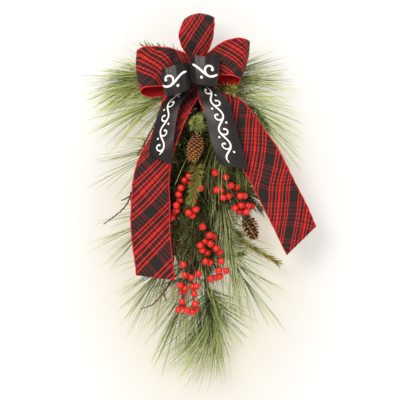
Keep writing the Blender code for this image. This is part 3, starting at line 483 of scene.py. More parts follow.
class Lay:
    # places on a length of ribbon: v along its middle, s from -1 to 1 across, lift off its printed face
    def __init__(self, spec, cloth):
        rows = curveThrough([(*at(*row[:3]), *row[3:]) for row in spec["stations"]], cloth["steps"])
        self.centre, self.share = rows[:, :3], rows[:, 4]
        angle, lean = np.radians(rows[:, 3]), np.radians(rows[:, 5])
        level = np.cos(lean)
        self.across = np.stack([np.cos(angle) * level, -np.sin(lean), np.sin(angle) * level], axis=1)
        along = unit(np.gradient(self.centre, axis=0))
        self.out = spec["facing"] * unit(np.cross(along, self.across))
        self.v = lengthsOf(self.centre)
        seen = np.searchsorted(self.v, self.v[-1] * spec.get("frontAt", 0.25))
        self.printed = 1 if self.out[seen, 1] < 0 else -1  # the printed face looks at the viewer there
        hand = np.cross(self.across, along)[seen].dot(self.out[seen] * self.printed)
        self.side = 1 if hand < 0 else -1
        self.spec, self.halfWidth = spec, cloth["width"] / 2

    def read(self, rows, v):
        return np.stack([np.interp(v, self.v, column) for column in rows.T], axis=-1)

    def foldsAt(self, v, s):
        rise = np.zeros(v.shape)
        for v0, s0, v1, s1, height, width in self.spec.get("folds", ()):
            runV, runS = v1 - v0, (s1 - s0) * self.halfWidth
            share = ((v - v0) * runV + (s - s0) * self.halfWidth * runS) / (runV**2 + runS**2)
            share = np.clip(share, 0, 1)
            away = np.hypot(v - v0 - share * runV, (s - s0) * self.halfWidth - share * runS)
            rise = rise + height * np.exp(-((away / width) ** 2))
        return rise

    def plaidAt(self, v, s):
        # places in the plaid: across its main lines and across its cross lines, in the cloth's own mm
        plaid, across = self.spec["plaid"], self.side * s * self.halfWidth
        turns = np.radians(np.interp(self.v, *zip(*plaid["turns"])))
        turn, step = np.interp(v, self.v, turns), np.gradient(self.v)
        drift = plaidDrift["size"] * np.sin(v / plaidDrift["length"] + plaidDrift["slant"] * s)
        main = np.interp(v, self.v, np.cumsum(np.sin(turns) * step)) + across * np.cos(turn) + drift
        cross = np.interp(v, self.v, np.cumsum(np.cos(turns) * step)) - across * np.sin(turn) + drift
        return np.stack([main, cross], axis=-1) / plaid["scale"] + plaid["start"]

    def place(self, v, s, lift=0.0):
        v, s = np.broadcast_arrays(np.asarray(v, float), np.asarray(s, float))
        share = np.interp(v, self.v, self.share)
        height, length, slant = self.spec["wave"]
        ease = np.clip((share - opening["share"]) / opening["run"], 0, 1)
        wave = height * np.sin(2 * math.pi * v / length + slant * s * 2) * ease
        fold = np.clip((pleats["fromShare"] - share) / pleats["fromShare"], 0, 1)
        pleat = pleats["depth"] * fold * np.cos(math.pi * pleats["count"] * s)
        rise = self.spec["bulge"] * share * (1 - s**2) + wave + pleat + lift * self.printed
        rise = rise + self.foldsAt(v, s)
        turn = v / edgeRipple["length"] + edgeRipple["slant"] * s
        ripple = 1 + edgeRipple["share"] * np.sin(turn) * s**4 * ease
        half = self.halfWidth * share * s * ripple
        across = self.read(self.across, v) * half[..., None]
        return self.read(self.centre, v) + across + unit(self.read(self.out, v)) * rise[..., None]


def addSheet(parts, grid, thickness, looks, places):
    # a sheet with its front, its back and its rim in the looks given
    rows, columns = grid.shape[:2]
    out = unit(np.cross(np.gradient(grid, axis=0), np.gradient(grid, axis=1))) * thickness / 2
    faces = gridFaces(rows, columns)
    half = rows * columns
    edge = [i * columns for i in range(rows)] + [(rows - 1) * columns + j for j in range(1, columns)]
    edge += [i * columns + columns - 1 for i in range(rows - 2, -1, -1)] + list(range(columns - 2, 0, -1))
    rim = [[b, a, half + a, half + b] for a, b in zip(edge, edge[1:] + edge[:1])]
    first = parts.count
    places = np.concatenate([places.reshape(-1, 2)] * 2)
    parts.add(np.concatenate([grid + out, grid - out]), faces[:, ::-1], looks[0], places)
    parts.addFaces(faces + half, looks[1], first)
    parts.addFaces(rim, looks[2], first)


def addDrum(parts, gather):
    # the gathered knot: a short pleated roll between its two depths
    count = drum["points"]
    turns = turnsOf(count)
    radii = gather["radius"] * (1 - drum["ridge"] + drum["ridge"] * np.cos(drum["ridges"] * turns))
    x, z = gather["centre"]
    rings = []
    for share, inset in drum["insets"]:
        depth = gather["back"] + (gather["front"] - gather["back"]) * share
        level = (radii * inset)[:, None] * circle(turns)
        rings.append([at(x + right, z + up, depth) for right, up in level])
    rows = len(rings)
    around, across = np.tile(turns * gather["radius"], rows), np.repeat(np.arange(rows) * 4.0, count)
    parts.add(np.array(rings), tubeFaces(rows, count), 0, np.stack([around, across], axis=1))


def linesOf(tree, place, period, lines):
    # 1 on the lines of a set that mirrors about its middle and repeats at each period, 0 between them
    half = period / 2
    stops = []
    for middle, width in lines:
        stops += [(max(middle - width / 2, 0.0), 1.0), (middle + width / 2, 0.0)]
    share = mathOf(tree, "DIVIDE", mathOf(tree, "PINGPONG", place, half), half)
    return rampOf(tree, share, [(edge / half, grey(shade)) for edge, shade in stops], "CONSTANT")


def makeTartanLooks():
    # yarn-dyed polyester, twill woven and brushed: matt, with colours that blend thread by thread
    made, tree, shader = newMaterial(
        "brushed tartan twill", 0.85, Sheen_Weight=0.08, Sheen_Roughness=0.5, Specular_IOR_Level=0.2)
    main, cross = layOf(tree)
    bright = linesOf(tree, main, tartan["period"], tartan["lines"])
    dim = linesOf(tree, cross, tartan["period"], tartan["crossLines"])
    worn = scaled(tree, noiseOf(tree, 2.2, 3), 0.9)
    ground = mixOf(tree, worn, tartan["ground"], tartan["groundBrown"])
    ground = mixOf(tree, scaled(tree, dim, tartan["dimOnGround"]), ground, tartan["dimRed"])
    red = mixOf(tree, worn, tartan["red"], tartan["redDeep"])
    red = mixOf(tree, scaled(tree, dim, tartan["dimOnRed"]), red, tartan["redBright"])
    feed(tree, shader.inputs["Base Color"], mixOf(tree, scaled(tree, bright, tartan["bright"]), ground, red))
    bumpOn(tree, shader, noiseOf(tree, 0.9, 2), 0.2, 0.3)

    # the same ribbon's back: plain red acetate taffeta, smoother than the front; its reds are darkened as
    # painted shade for the insides of the loops
    back = grainedMaterial("red taffeta backing", 0.7, tartan["reverse"], tartan["reverseLit"],
                           (6, 2), ((1.5, 2), 0.2, 0.3), Specular_IOR_Level=0.2)
    # merrowed edge: red thread wound over the wire, brighter than the cloth
    edge = grainedMaterial("merrowed red edge", 0.45, tartan["edge"], tartan["edgeDeep"],
                           (1.6, 2), ((1.2, 1), 0.3, 0.5))
    return [made, back, edge]


def makeSatinLooks():
    # black polyester satin: long floats that give broad soft highlights along the folds; a coarse grain
    # blends the ground with a lighter black, the lit ground, as painted mottled sheen
    made = grainedMaterial("black polyester satin", 0.45, satin["ground"], satin["groundLit"],
                           (9, 2), ((1.3, 2, (1, 1, 4)), 0.15, 0.4), Sheen_Weight=0.1, Sheen_Roughness=0.4,
                           Specular_Tint=satin["tint"], Specular_IOR_Level=0.42)
    tree = made.node_tree
    rough = mathOf(tree, "ADD", scaled(tree, noiseOf(tree, 5, 2), 0.14), 0.35)
    feed(tree, tree.nodes["Principled BSDF"].inputs["Roughness"], rough)
    # flocked print: short white fibres stuck on, matt and faintly grey at their roots
    flock = grainedMaterial("white flock print", 0.9, satin["print"], satin["printGrey"],
                            (1.2, 2), ((0.9, 2), 0.2, 0.5), Sheen_Weight=0.3)
    return [made, flock]


def scrollLines(length, scale):
    # a running vine: a soft wave with a curl in each bend and a dot beside it, as (along, across) points
    half = scroll["length"] * scale / 2
    rise, curlSize = scroll["height"] * scale, scroll["curl"] * scale
    wave = np.arange(scroll["start"], length - scroll["end"], scroll["step"])
    lines = [(np.stack([wave, rise * np.sin(math.pi * wave / half)], axis=1), 1.0)]
    dots = []
    for k in range(int(length / half) + 1):
        side = 1 if k % 2 == 0 else -1
        middle = half * (k + 0.5)
        turn = np.linspace(0, scroll["curlTurn"], scroll["curlSteps"])
        radius = curlSize * (1 - scroll["windIn"] * turn / turn[-1])
        centre = np.array([middle + 1.0, side * (rise - curlSize)])
        curl = centre + radius[:, None] * np.stack([np.sin(turn), side * np.cos(turn)], axis=1)
        if ((curl[:, 0] > scroll["start"]) & (curl[:, 0] < length - scroll["start"])).all():
            lines.append((curl, scroll["curlWeight"]))
            dots += [curl[-1], np.array([middle + half / 2, side * scroll["dotAside"] * scale])]
    return lines, [dot for dot in dots if scroll["dotEnd"] < dot[0] < length - scroll["dotEnd"]]


def addPrint(parts, lay, first, last, scale):
    # the print lies on the ribbon's face and ends before its gather and its cut end
    def lifted(points, lift):
        return lay.place(first + points[:, 0], points[:, 1] / lay.halfWidth, lift)

    low, high = satin["printLifts"]
    lines, dots = scrollLines(last - first, scale)
    for line, weight in lines:
        way = unit(np.gradient(line, axis=0))
        normal = np.stack([-way[:, 1], way[:, 0]], axis=1)
        share = np.linspace(0, 1, len(line))
        taper = np.clip(np.minimum(share, 1 - share) * scroll["thinning"] + scroll["tipShare"], 0, 1)
        stroke = (scroll["stroke"] * weight * scale * taper)[:, None]
        corners = ((-1, low), (-1, high), (1, high), (1, low))
        rails = np.stack([lifted(line + normal * (side * stroke), lift) for side, lift in corners], axis=1)
        parts.add(rails, tubeFaces(len(line), 4), 1)
    count = scroll["dotPoints"]
    for dot in dots:
        rim = dot + scroll["dot"] * scale * circle(turnsOf(count))
        parts.add(np.concatenate([lifted(rim, lift) for lift in (low, high)]), tubeFaces(2, count), 1)


def makeRibbons():
    tartanLooks, satinLooks = makeTartanLooks(), makeSatinLooks()
    surfaces = []
    for name, piece in ribbonPieces.items():
        cloth, parts, flatLength = piece["cloth"], Parts(), 0.0
        addDrum(parts, piece["gather"])
        for spec in piece["lengths"]:
            lay = Lay(spec, cloth)
            flatLength += lay.v[-1]
            v, s = np.meshgrid(lay.v, np.linspace(-1, 1, cloth["columns"] + 1), indexing="ij")
            grid = lay.place(v, s)
            if cloth is tartan:
                row, column = len(lay.v) // 4, grid.shape[1] // 2
                normal = np.cross(np.gradient(grid, axis=0), np.gradient(grid, axis=1))[row, column]
                order = (0, 1, 2) if normal.dot(lay.out[row] * lay.printed) > 0 else (1, 0, 2)
                addSheet(parts, grid, cloth["thickness"], order, lay.plaidAt(v, s))
                for side in (-1, 1):
                    addTube(parts, lay.place(lay.v, side), cloth["edgeWire"], 6, 2)
            else:
                addSheet(parts, grid, cloth["thickness"], (0, 0, 0), np.zeros((*grid.shape[:2], 2)))
                last = lay.v[-1] - spec["printTo"]
                addPrint(parts, lay, spec["printFrom"], last, spec.get("printScale", 1.0))
        looks = tartanLooks if cloth is tartan else satinLooks
        made = makePiece(name + "_cloth", parts, looks, cloth["slot"], name, sharp=60)
        surfaces.append((np.concatenate(parts.points), parts.faces))
    return surfaces


# Frame of the swag: ring, wound spine, wires


def makeHanger():
    # bright drawn steel wire: fine drawing marks along it
    steel, tree, shader = newMaterial("drawn steel wire", 0.32, Base_Color="#8b8e92", Metallic=1.0)
    marks = mathOf(tree, "ADD", scaled(tree, noiseOf(tree, 1.5, 3), 0.2), 0.22)
    feed(tree, shader.inputs["Roughness"], marks)
    parts = Parts()
    radius = hanger["radius"] + hanger["wire"]
    turns = np.linspace(0, 2 * math.pi, hanger["points"])
    ring = [at(radius * math.sin(t), radius * math.cos(t) - hanger["radius"], standOff) for t in turns]
    for path in (ring, boundPath(hanger["tail"], 8, hanger["wire"])):
        addTube(parts, path, hanger["wire"], hanger["sides"])
    makePiece("hanger_ring_wire", parts, [steel], "hanger_wire", "hanger_loop")


def makeSpine():
    # floral tape: waxed crepe paper wound on a slant, matt with fine creases
    tape = grainedMaterial("wound floral tape", 0.85, "#3b4a28", "#5c6b3c", (2.5, 4),
                           ((1.0, 3, (1, 1, 0.3)), 0.3, 0.7))
    parts = Parts()
    rows, sides = spine["rows"], spine["sides"]
    z, turns = np.linspace(spine["top"], spine["foot"], rows), turnsOf(sides)
    slant = (z[:, None] / spine["tape"] + turns[None] / (2 * math.pi)) % 1
    radius = spine["radius"] + spine["ridge"] * (slant - spine["sunk"])
    level = spokes(turns, np.array([1.0, 0, 0]), np.array([0, 1.0, 0]))
    rings = np.stack([spineAt(h) for h in z])[:, None] + radius[..., None] * level
    parts.add(rings, tubeFaces(rows, sides, True))
    makePiece("spine_tape", parts, [tape], "wrapped_spine", "spine", sharp=60)


def makeWires():
    # florist's wire: green enamel on annealed iron, slightly uneven
    lacquer = grainedMaterial("green enamelled wire", 0.42, "#2f3f28", "#43553a", (3, 2), Coat_Weight=0.3)
    inside = spine["radius"] + 2 * branchRadius + 2 * gap + binding["wire"] * binding["clear"]
    axis = unit(spineAt(0) - spineAt(-100))
    for number, z in enumerate(stations, start=1):
        parts = Parts()
        t = np.linspace(0, 2 * math.pi * binding["turns"], binding["steps"] * binding["turns"])
        rise = (t / t[-1] - 0.5) * binding["turns"] * binding["pitch"] * binding["wire"]
        coil = spineAt(z) + inside * spokes(t, *acrossOf(axis)) + rise[:, None] * axis
        addTube(parts, coil, binding["wire"], 8)
        makePiece(f"binding_turns_{number}", parts, [lacquer], "green_florist_wire", f"binding_wire_{number}")

    parts = Parts()
    path = boundPath(bowTie, 8)
    wire, knot, side, up = bowTie["wire"], bowTie["knot"], np.array([1.0, 0, 0]), np.array([0, 0, 1.0])
    for phase in (0, math.pi):
        twist = np.linspace(0, bowTie["twists"] * math.pi, len(path)) + phase
        addTube(parts, path + bowTie["strand"] * spokes(twist, side, up), wire, 8)
    x, z, depth = bowTie["through"][-1]
    t = np.linspace(0, 2 * math.pi * knot["turns"], knot["steps"])
    depths = depth - knot["back"] + knot["length"] * t / t[-1]
    coil = (knot["radius"] - wire) * circle(t)
    addTube(parts, [at(x + right, z + rise, d) for (right, rise), d in zip(coil, depths)], wire, 8)
    makePiece("bow_tie_wire_turns", parts, [lacquer], "green_florist_wire", "bow_tie_wire")


# Pine cones

# Along a cone from base (0) to tip (1): how its core swells and its scales tilt, where the first scale sits
# and how the others crowd, and the share of a scale's size that is left at the thin end. Each scale starts
# inside the core, and cup, bulge and curl bend it.
coneForm = dict(
    length=43.0, thickness=0.9, swell=((0, 0.45, 1), (1.0, 1.05, 0.72)),
    tilt=((0, 0.15, 0.8, 1), (-0.3, 0.45, 0.9, 1.6)), first=0.015, run=0.97, crowding=0.94, least=0.45,
    inside=0.55, outside=0.45, cup=0.9, bulge=0.5, curl=1.6, rows=6, columns=7, stray=0.05,
    coreRows=24, coreSides=20, coreEnds=0.02, stalkInside=3,
    ball=10.5, ballPlaces=(0.2, 0.4, 0.6, 0.8),  # balls that keep the needles out of it
)
# each cone's tones: a name, then the painted shade at the scale roots, the middle and the lip; the centre
# cone's are sunlit and the right cone's shaded, as painted light
pineCones = dict(
    center=branch(1, -45, (-14, -98, 44), (-9, -110, 62), (-4, -118, 77), tip=(-12, -160, 80), seed=16,
        core=8.2, scales=88, width=4.6, lift=4.4, scaleReach=6.0,
        tones=("sunlit", "#2e150a", "#b5622d", "#f4b878")),
    right=branch(4, 90, (34, -226, 30), (60, -238, 48), (77, -252, 64), tip=(94, -297, 68), seed=15,
        core=7.6, scales=60, width=5.2, lift=5.6, scaleReach=7.6,
        tones=("shaded", "#210e07", "#7e4020", "#cc8c54")),
)


def makeConeLook(tones):
    # dried pine cone: woody scales, dark from their roots to half way as painted shade where they overlap,
    # and paler on their weathered lips; the centre cone has a sunlit copy of these tones and the right cone a
    # shaded one, as painted light
    name, dark, middle, rim = tones
    made, tree, shader = newMaterial("pine cone scales " + name, 0.72)
    share, tint = layOf(tree)
    # painted shade: dark over the inner half of each scale, where the scales overlap
    colour = rampOf(tree, share, [(0.0, dark), (0.5, dark), (0.72, middle), (0.96, rim)])
    colour = mixOf(tree, scaled(tree, noiseOf(tree, 2.0, 4), 0.2), colour, middle)
    feed(tree, shader.inputs["Base Color"], mixOf(tree, scaled(tree, tint, 0.3), colour, dark))
    bumpOn(tree, shader, noiseOf(tree, 1.0, 4), 0.4, 0.6)
    return made


def makeCones():
    balls = []
    for name, cone in pineCones.items():
        name, look, draw = "pine_cone_" + name, makeConeLook(cone["tones"]), random.Random(cone["seed"])
        base, tip, length = at(*cone["through"][-1]), at(*cone["tip"]), coneForm["length"]
        axis = unit(tip - base)
        first, second = acrossOf(axis)
        parts = Parts()
        stalk = boundPath(cone, 6)
        stalk[-1] = base + axis * coneForm["stalkInside"]
        addTube(parts, stalk, (branchRadius, 1.2), 8, 0, 0.9)
        shares = np.linspace(0, 1, coneForm["coreRows"])
        core = cone["core"] * np.sqrt(np.clip(1 - (2 * shares - 1) ** 2, coneForm["coreEnds"], 1))
        core = core * np.interp(shares, *coneForm["swell"])
        addTube(parts, base + np.outer(shares * length, axis), core, coneForm["coreSides"], 0, 1.0)
        rows, columns = coneForm["rows"], coneForm["columns"]
        t, s = np.linspace(0, 1, rows)[:, None, None], np.linspace(-1, 1, columns)[None, :, None]
        # a scale widens from its root (t 0) and is rounded off at its lip (t 1)
        widening, rounding = 0.5 + 0.5 * np.sin(math.pi * (t * 0.75)), np.sqrt(np.clip(1.02 - t**4, 0, 1))
        for k in range(cone["scales"]):
            share = coneForm["first"] + coneForm["run"] * (k / cone["scales"]) ** coneForm["crowding"]
            outward = spoke(k * goldenAngle + eitherWay(draw, coneForm["stray"]), first, second)
            sideways = np.cross(axis, outward)
            here = np.interp(share, shares, core)
            size = coneForm["least"] + (1 - coneForm["least"]) * here / cone["core"]
            tilt = np.interp(share, *coneForm["tilt"])
            root = base + axis * share * length + outward * here * coneForm["inside"]
            half = cone["width"] * size * widening * rounding
            reach = (here * coneForm["outside"] + cone["scaleReach"] * size) * t
            rise = cone["lift"] * size * tilt * t ** coneForm["curl"] + coneForm["bulge"] * (1 - s**2)
            reach = reach - coneForm["cup"] * s**2 * t
            grid = root + outward * reach + sideways * half * s + axis * rise
            places = np.concatenate([t, np.full_like(t, draw.random())], axis=2)
            thickness = coneForm["thickness"] * (0.7 + 0.5 * t)
            addSheet(parts, grid, thickness, (0, 0, 0), np.broadcast_to(places, (rows, columns, 2)))
        makePiece(name + "_scales", parts, [look], "pine_cone_scales", name, sharp=35)
        balls += [(base + axis * length * share, coneForm["ball"]) for share in coneForm["ballPlaces"]]
    return balls


# Berries, each placed where the photograph shows it and hung on the twig above it

pixel = 1.7  # millimetres of the object to one pixel of the photograph
hookPixel = (200, 66)
# berries in front are a little larger; twigSide leads from a berry to where its twig is looked for, facing
# is the way the stalk ends of facingBerries point, and stalk and blossom (the dark end) are radii
berry = dict(
    stalk=0.55, blossom=0.9, stalkTop=0.97, blossomAt=0.93, sag=-0.8,
    radius=5.75, uneven=0.05, larger=0.3, apart=0.2, backStep=0.6, front=75.0, behind=63.0, stray=1.5,
    twigSide=(0, 2.0, 9.0), lean=0.3, facing=(0.1, 1.0, 0.0), around=20, rows=14, deep="#c80d10",
    # tones run from the stalk end (0) to the blossom end (1): painted light brightest at 0.4, painted shade
    # at both poles
    tones=[(0.0, "#5a0a10"), (0.1, "#d0140f"), (0.4, "#f82818"), (0.9, "#e01a10"), (1.0, "#52140c")],
)
berryPicks = dict(
    left=branch(2, 0, (-8, -132, 38), (-14, -165, 48), (-18, -184, 58), twigs=(((-26, -202, 64),
        (-36, -228, 69), (-44, -250, 70)), ((-8, -206, 64), (-8, -232, 68), (-14, -247, 69))),
        front=((181.2, 188), (200.7, 188.4), (179, 194.4), (176.6, 205.3), (176.8, 210), (188.6, 212.6),
        (195.9, 209.4), (192.4, 215.5)), behind=((188.9, 176.2), (184.7, 180.4), (180, 200.2), (173.6, 213),
        (172, 217.4), (194.3, 200.2), (189.5, 183))),
    right=branch(2, 45, (12, -132, 38), (15, -160, 50), (22, -184, 60), twigs=(((34, -188, 64),
        (48, -196, 68), (60, -206, 68)), ((28, -202, 64), (38, -218, 68), (50, -224, 70)), ((50, -210, 61),
        (70, -224, 66), (80, -242, 70))), front=((215.3, 173), (226, 177.2), (230.8, 185.7), (216.4, 190.2),
        (223, 197.9), (228.7, 196.3), (239.8, 196), (244.4, 196), (234.8, 208.2), (240.9, 205.5),
        (247.4, 205.9), (239.4, 211.6), (246.3, 212)), behind=((236.7, 187.5), (221.4, 190.6),
        (252, 206.3))),
    middle=branch(4, 0, (6, -236, 38), (6, -260, 52), (6, -276, 60), twigs=(((10, -292, 64), (6, -312, 69),
        (12, -334, 71)), ((22, -298, 62), (30, -328, 68), (28, -354, 71))), front=((202.8, 226.8),
        (209.7, 235.2), (210.5, 243.7), (200.2, 245.2), (202.5, 250.2), (216.2, 248.3), (219.7, 252),
        (205.5, 261.3), (210.1, 262.4), (221.2, 260.9), (218.9, 270.4), (226.2, 270.4), (219.7, 275.8),
        (210.5, 278.5)), behind=((213.6, 236.8), (205.1, 241.4), (207.4, 252.8), (216.2, 277.3))),
    low=branch(5, -45, (-10, -292, 38), (-14, -318, 50), (-15, -332, 58), twigs=(((-24, -358, 64),
        (-30, -386, 69), (-32, -408, 71)), ((-6, -358, 64), (-9, -386, 68), (-10, -410, 71))),
        front=((183.3, 264.3), (184.9, 275), (191.4, 277.3), (198.6, 273.5), (180.3, 285), (185.2, 287.7),
        (183, 292.2), (196.7, 285.7), (194.4, 293.4), (182.2, 301), (195.2, 303), (178.4, 309),
        (186.8, 309.8), (192.1, 311.4), (196, 308.7)), behind=((192.9, 286.5), (183.3, 306))),
)
# berries whose dark blossom end faces the viewer
facingBerries = ((230.8, 185.7), (228.7, 196.3), (202.8, 226.8), (210.5, 243.7), (226.2, 270.4))


def makeBerries():
    # lacquered foam berry: thick clear gloss over strong red, with painted light: lightest on the stalk side
    # of its middle, which faces up on most berries, and deeper red round the poles as painted shade
    red, tree, shader = newMaterial("lacquered red berry", 0.3, Coat_Weight=0.25, Coat_Roughness=0.1)
    share, tint = layOf(tree)
    colour = rampOf(tree, share, berry["tones"])
    feed(tree, shader.inputs["Base Color"], mixOf(tree, scaled(tree, tint, 0.4), colour, berry["deep"]))
    bumpOn(tree, shader, noiseOf(tree, 4, 2), 0.3, 0.15)
    # paper-wrapped wire stalk, dyed dark red-brown
    stalkLook = grainedMaterial("wrapped red-brown stalk", 0.7, "#48201a", "#7c3a26", (2, 3))
    hanging = []
    for number, (name, pick) in enumerate(berryPicks.items()):
        name, draw, parts = "berry_pick_" + name, random.Random(70 + number), Parts()
        trunk = boundPath(pick, 6)
        addTube(parts, trunk, (branchRadius, 1.2), 8, 1)
        twigs = [onwardFrom(trunk[-1], points, 8) for points in pick["twigs"]]
        for twig in twigs:
            addTube(parts, twig, (1.2, 0.7), 7, 1)
        along = np.concatenate(twigs)
        for px, py, place in [(*spot, place) for place in ("front", "behind") for spot in pick[place]]:
            depth = berry[place] + eitherWay(draw, berry["stray"])
            centre = at((px - hookPixel[0]) * pixel, (hookPixel[1] - py) * pixel, depth)
            radius = berry["radius"] * draw.uniform(1 - berry["uneven"], 1 + berry["uneven"])
            radius += berry["larger"] if place == "front" else 0
            clear = radius + berry["apart"]
            while any(np.linalg.norm(centre - other) - size < clear for other, size in hanging):
                centre = centre + [0, berry["backStep"], 0]
            hanging.append((centre, radius))
            root = along[np.argmin(np.linalg.norm(along - (centre + berry["twigSide"]), axis=1))]
            lean = berry["lean"]
            pole = unit(unit(root - centre) + [eitherWay(draw, lean), eitherWay(draw, lean), lean])
            if (px, py) in facingBerries:
                pole = unit(pole * lean + berry["facing"])
            top = centre + pole * radius * berry["stalkTop"]
            middle = (root + top) / 2 + [eitherWay(draw, berry["stray"]), 0, berry["sag"]]
            stalk = curveThrough([root, middle, top], 6)
            addTube(parts, stalk, (berry["stalk"], berry["stalk"] * 1.15), 6, 1)
            squash = draw.uniform(0.93, 1.0)
            addBall(parts, centre, radius, berry["around"], berry["rows"], 0, squash, pole, draw.random())
            addBall(parts, centre - pole * radius * berry["blossomAt"], berry["blossom"], 8, 5, 1)
        makePiece(name + "_berries", parts, [red, stalkLook], "red_berries", name)
    return hanging


# Bare twigs

bareTwigs = dict(
    left=branch(3, -90, (-30, -178, 29), (-75, -200, 36), (-114, -213, 43), (-118, -221, 44),
        forks=(((-134, -229, 46),), ((-128, -240, 46), (-146, -256, 47), (-164, -269, 48)),
        ((-116, -239, 43),))),
    upper_left=branch(1, -135, (-32, -88, 22), (-70, -92, 36), (-84, -112, 42), (-94, -130, 46),
        forks=(((-107, -153, 48),), ((-97, -146, 43),))),
    lower_left=branch(6, -45, (-24, -338, 34), (-49, -366, 41), (-62, -386, 44), forks=(((-80, -405, 46),
        (-101, -413, 47)), ((-57, -402, 44),))),
)
# a knot swells at every fifth point, and its radius grows where the wave is above knotFrom
bark = dict(knots=5, knotFrom=0.6, swell=0.35, kink=0.5, trunk=(1.7, 1.5), fork=(1.45, 0.8))


def makeBareTwigs():
    # dry birch twig: thin red-brown bark, mottled lengthways
    grain = (2.0, 4, (1, 1, 0.4))
    look = grainedMaterial("dry twig bark", 0.8, "#4e2a24", "#84513f", grain, (grain, 0.4, 0.8))
    for number, (name, twig) in enumerate(bareTwigs.items()):
        name, draw, parts = "bare_twig_" + name, random.Random(40 + number), Parts()
        trunk = boundPath(twig, 9)
        forks = [(onwardFrom(trunk[-1], fork, 9), bark["fork"]) for fork in twig["forks"]]
        for path, ends in [(trunk, bark["trunk"])] + forks:
            waves = np.sin(np.arange(len(path)) * 2 * math.pi / bark["knots"])
            knots = np.clip(waves - bark["knotFrom"], 0, 1)
            bent = path.copy()
            bent[2:-1] += [[eitherWay(draw, 1) * bark["kink"] for _ in range(3)] for _ in bent[2:-1]]
            addTube(parts, bent, np.linspace(*ends, len(path)) + bark["swell"] * knots, 8)
        makePiece(name + "_bark", parts, [look], "twig_bark", name)


# Foliage

# Needles: how wide they open at the start and end of their stem, how flat they lie front to back, how they
# bend, and how many share a tuft and its spread; shades run from sunny (0) to shaded (1)
longNeedle = dict(
    look="long", stem="darkStem", tries=5, start=0.1, end=1.0, angles=(46, 10), flatness=0.62,
    length=(80, 124), radius=0.5, curl=6.0, droop=10.0, sway=0.0, bias=(0, 0, 0), shades=(0.0, 1.0),
    tuft=3, spread=3.2, stemRadii=(1.6, 1.0), ceiling=36, shoots=0,
)
shortNeedle = dict(
    look="dark", stem="darkStem", count=260, tries=3, start=0.1, end=1.0, angles=(66, 34), flatness=0.95,
    length=(9.5, 15), radius=0.55, curl=1.2, droop=0.3, sway=0.0, bias=(0, 0, 0), shades=(0.0, 1.0),
    tuft=1, spread=11, stemRadii=(1.6, 1.0), ceiling=46, shoots=0, shootLength=(26, 44),
)
innerNeedle = longNeedle | dict(
    start=0.0, end=0.6, angles=(70, 35), length=(38, 92), share=1.4, shades=(0.35, 1.0))
# the long dark needles that fill the depth of the swag behind its front sprigs, in shaded tones as painted
# shade
fillNeedle = longNeedle | dict(
    start=0.0, angles=(95, 40), length=(22, 52), shades=(0.6, 1.0), flatness=0.4, tuft=2, radius=0.85)
needleDrift = dict(lean=11, turn=0.8, tuftTurn=3)
sideShoots = dict(
    places=(0.15, 0.94), opening=46, stray=8, turn=0.5, arch=(0, 0, 1.5), needles=0.42, radii=(1.1, 0.7))
loose = dict(radius=0.38, bend=3)
needleTests = (0, 0.4, 0.7, 1.0)  # places along a needle that are tried against what is already there
space = dict(
    door=2.0, hookSide=17, hookLow=-30, hookHigh=12, hookDepth=14, bowSide=112, bowLow=-54, bowDepth=57,
    inFront=100,
)
# root, middle and tip of a needle, then root and tip of a shaded one; the darker roots are painted shade deep
# in the foliage
needleTones = dict(
    long=("#576c3c", "#bccb6c", "#eceea8", "#3c5032", "#94a464"),
    cool=("#4d603a", "#acba72", "#e8e9ae", "#3a4d32", "#92a066"),
    # the dark look's tones are painted shade, for the sprigs deep inside the swag
    dark=("#1c2414", "#3f5029", "#73864a", "#2a2416", "#504c2e"),
    olive=("#4d5c26", "#80903c", "#b8b85a", "#5a4a22", "#7d8038"),
    moss=("#3a3c1c", "#656a32", "#94944a", "#3a2c18", "#5c5426"),
    fresh=("#4c6128", "#92a44e", "#ccd280", "#38491f", "#7a8c44"),
    yellow=("#56622a", "#9ca648", "#d6d274", "#4c4a20", "#84823a"),
)
stemTones = dict(darkStem=("#33241a", "#54402c"), brownStem=("#7c4220", "#b4662c"))
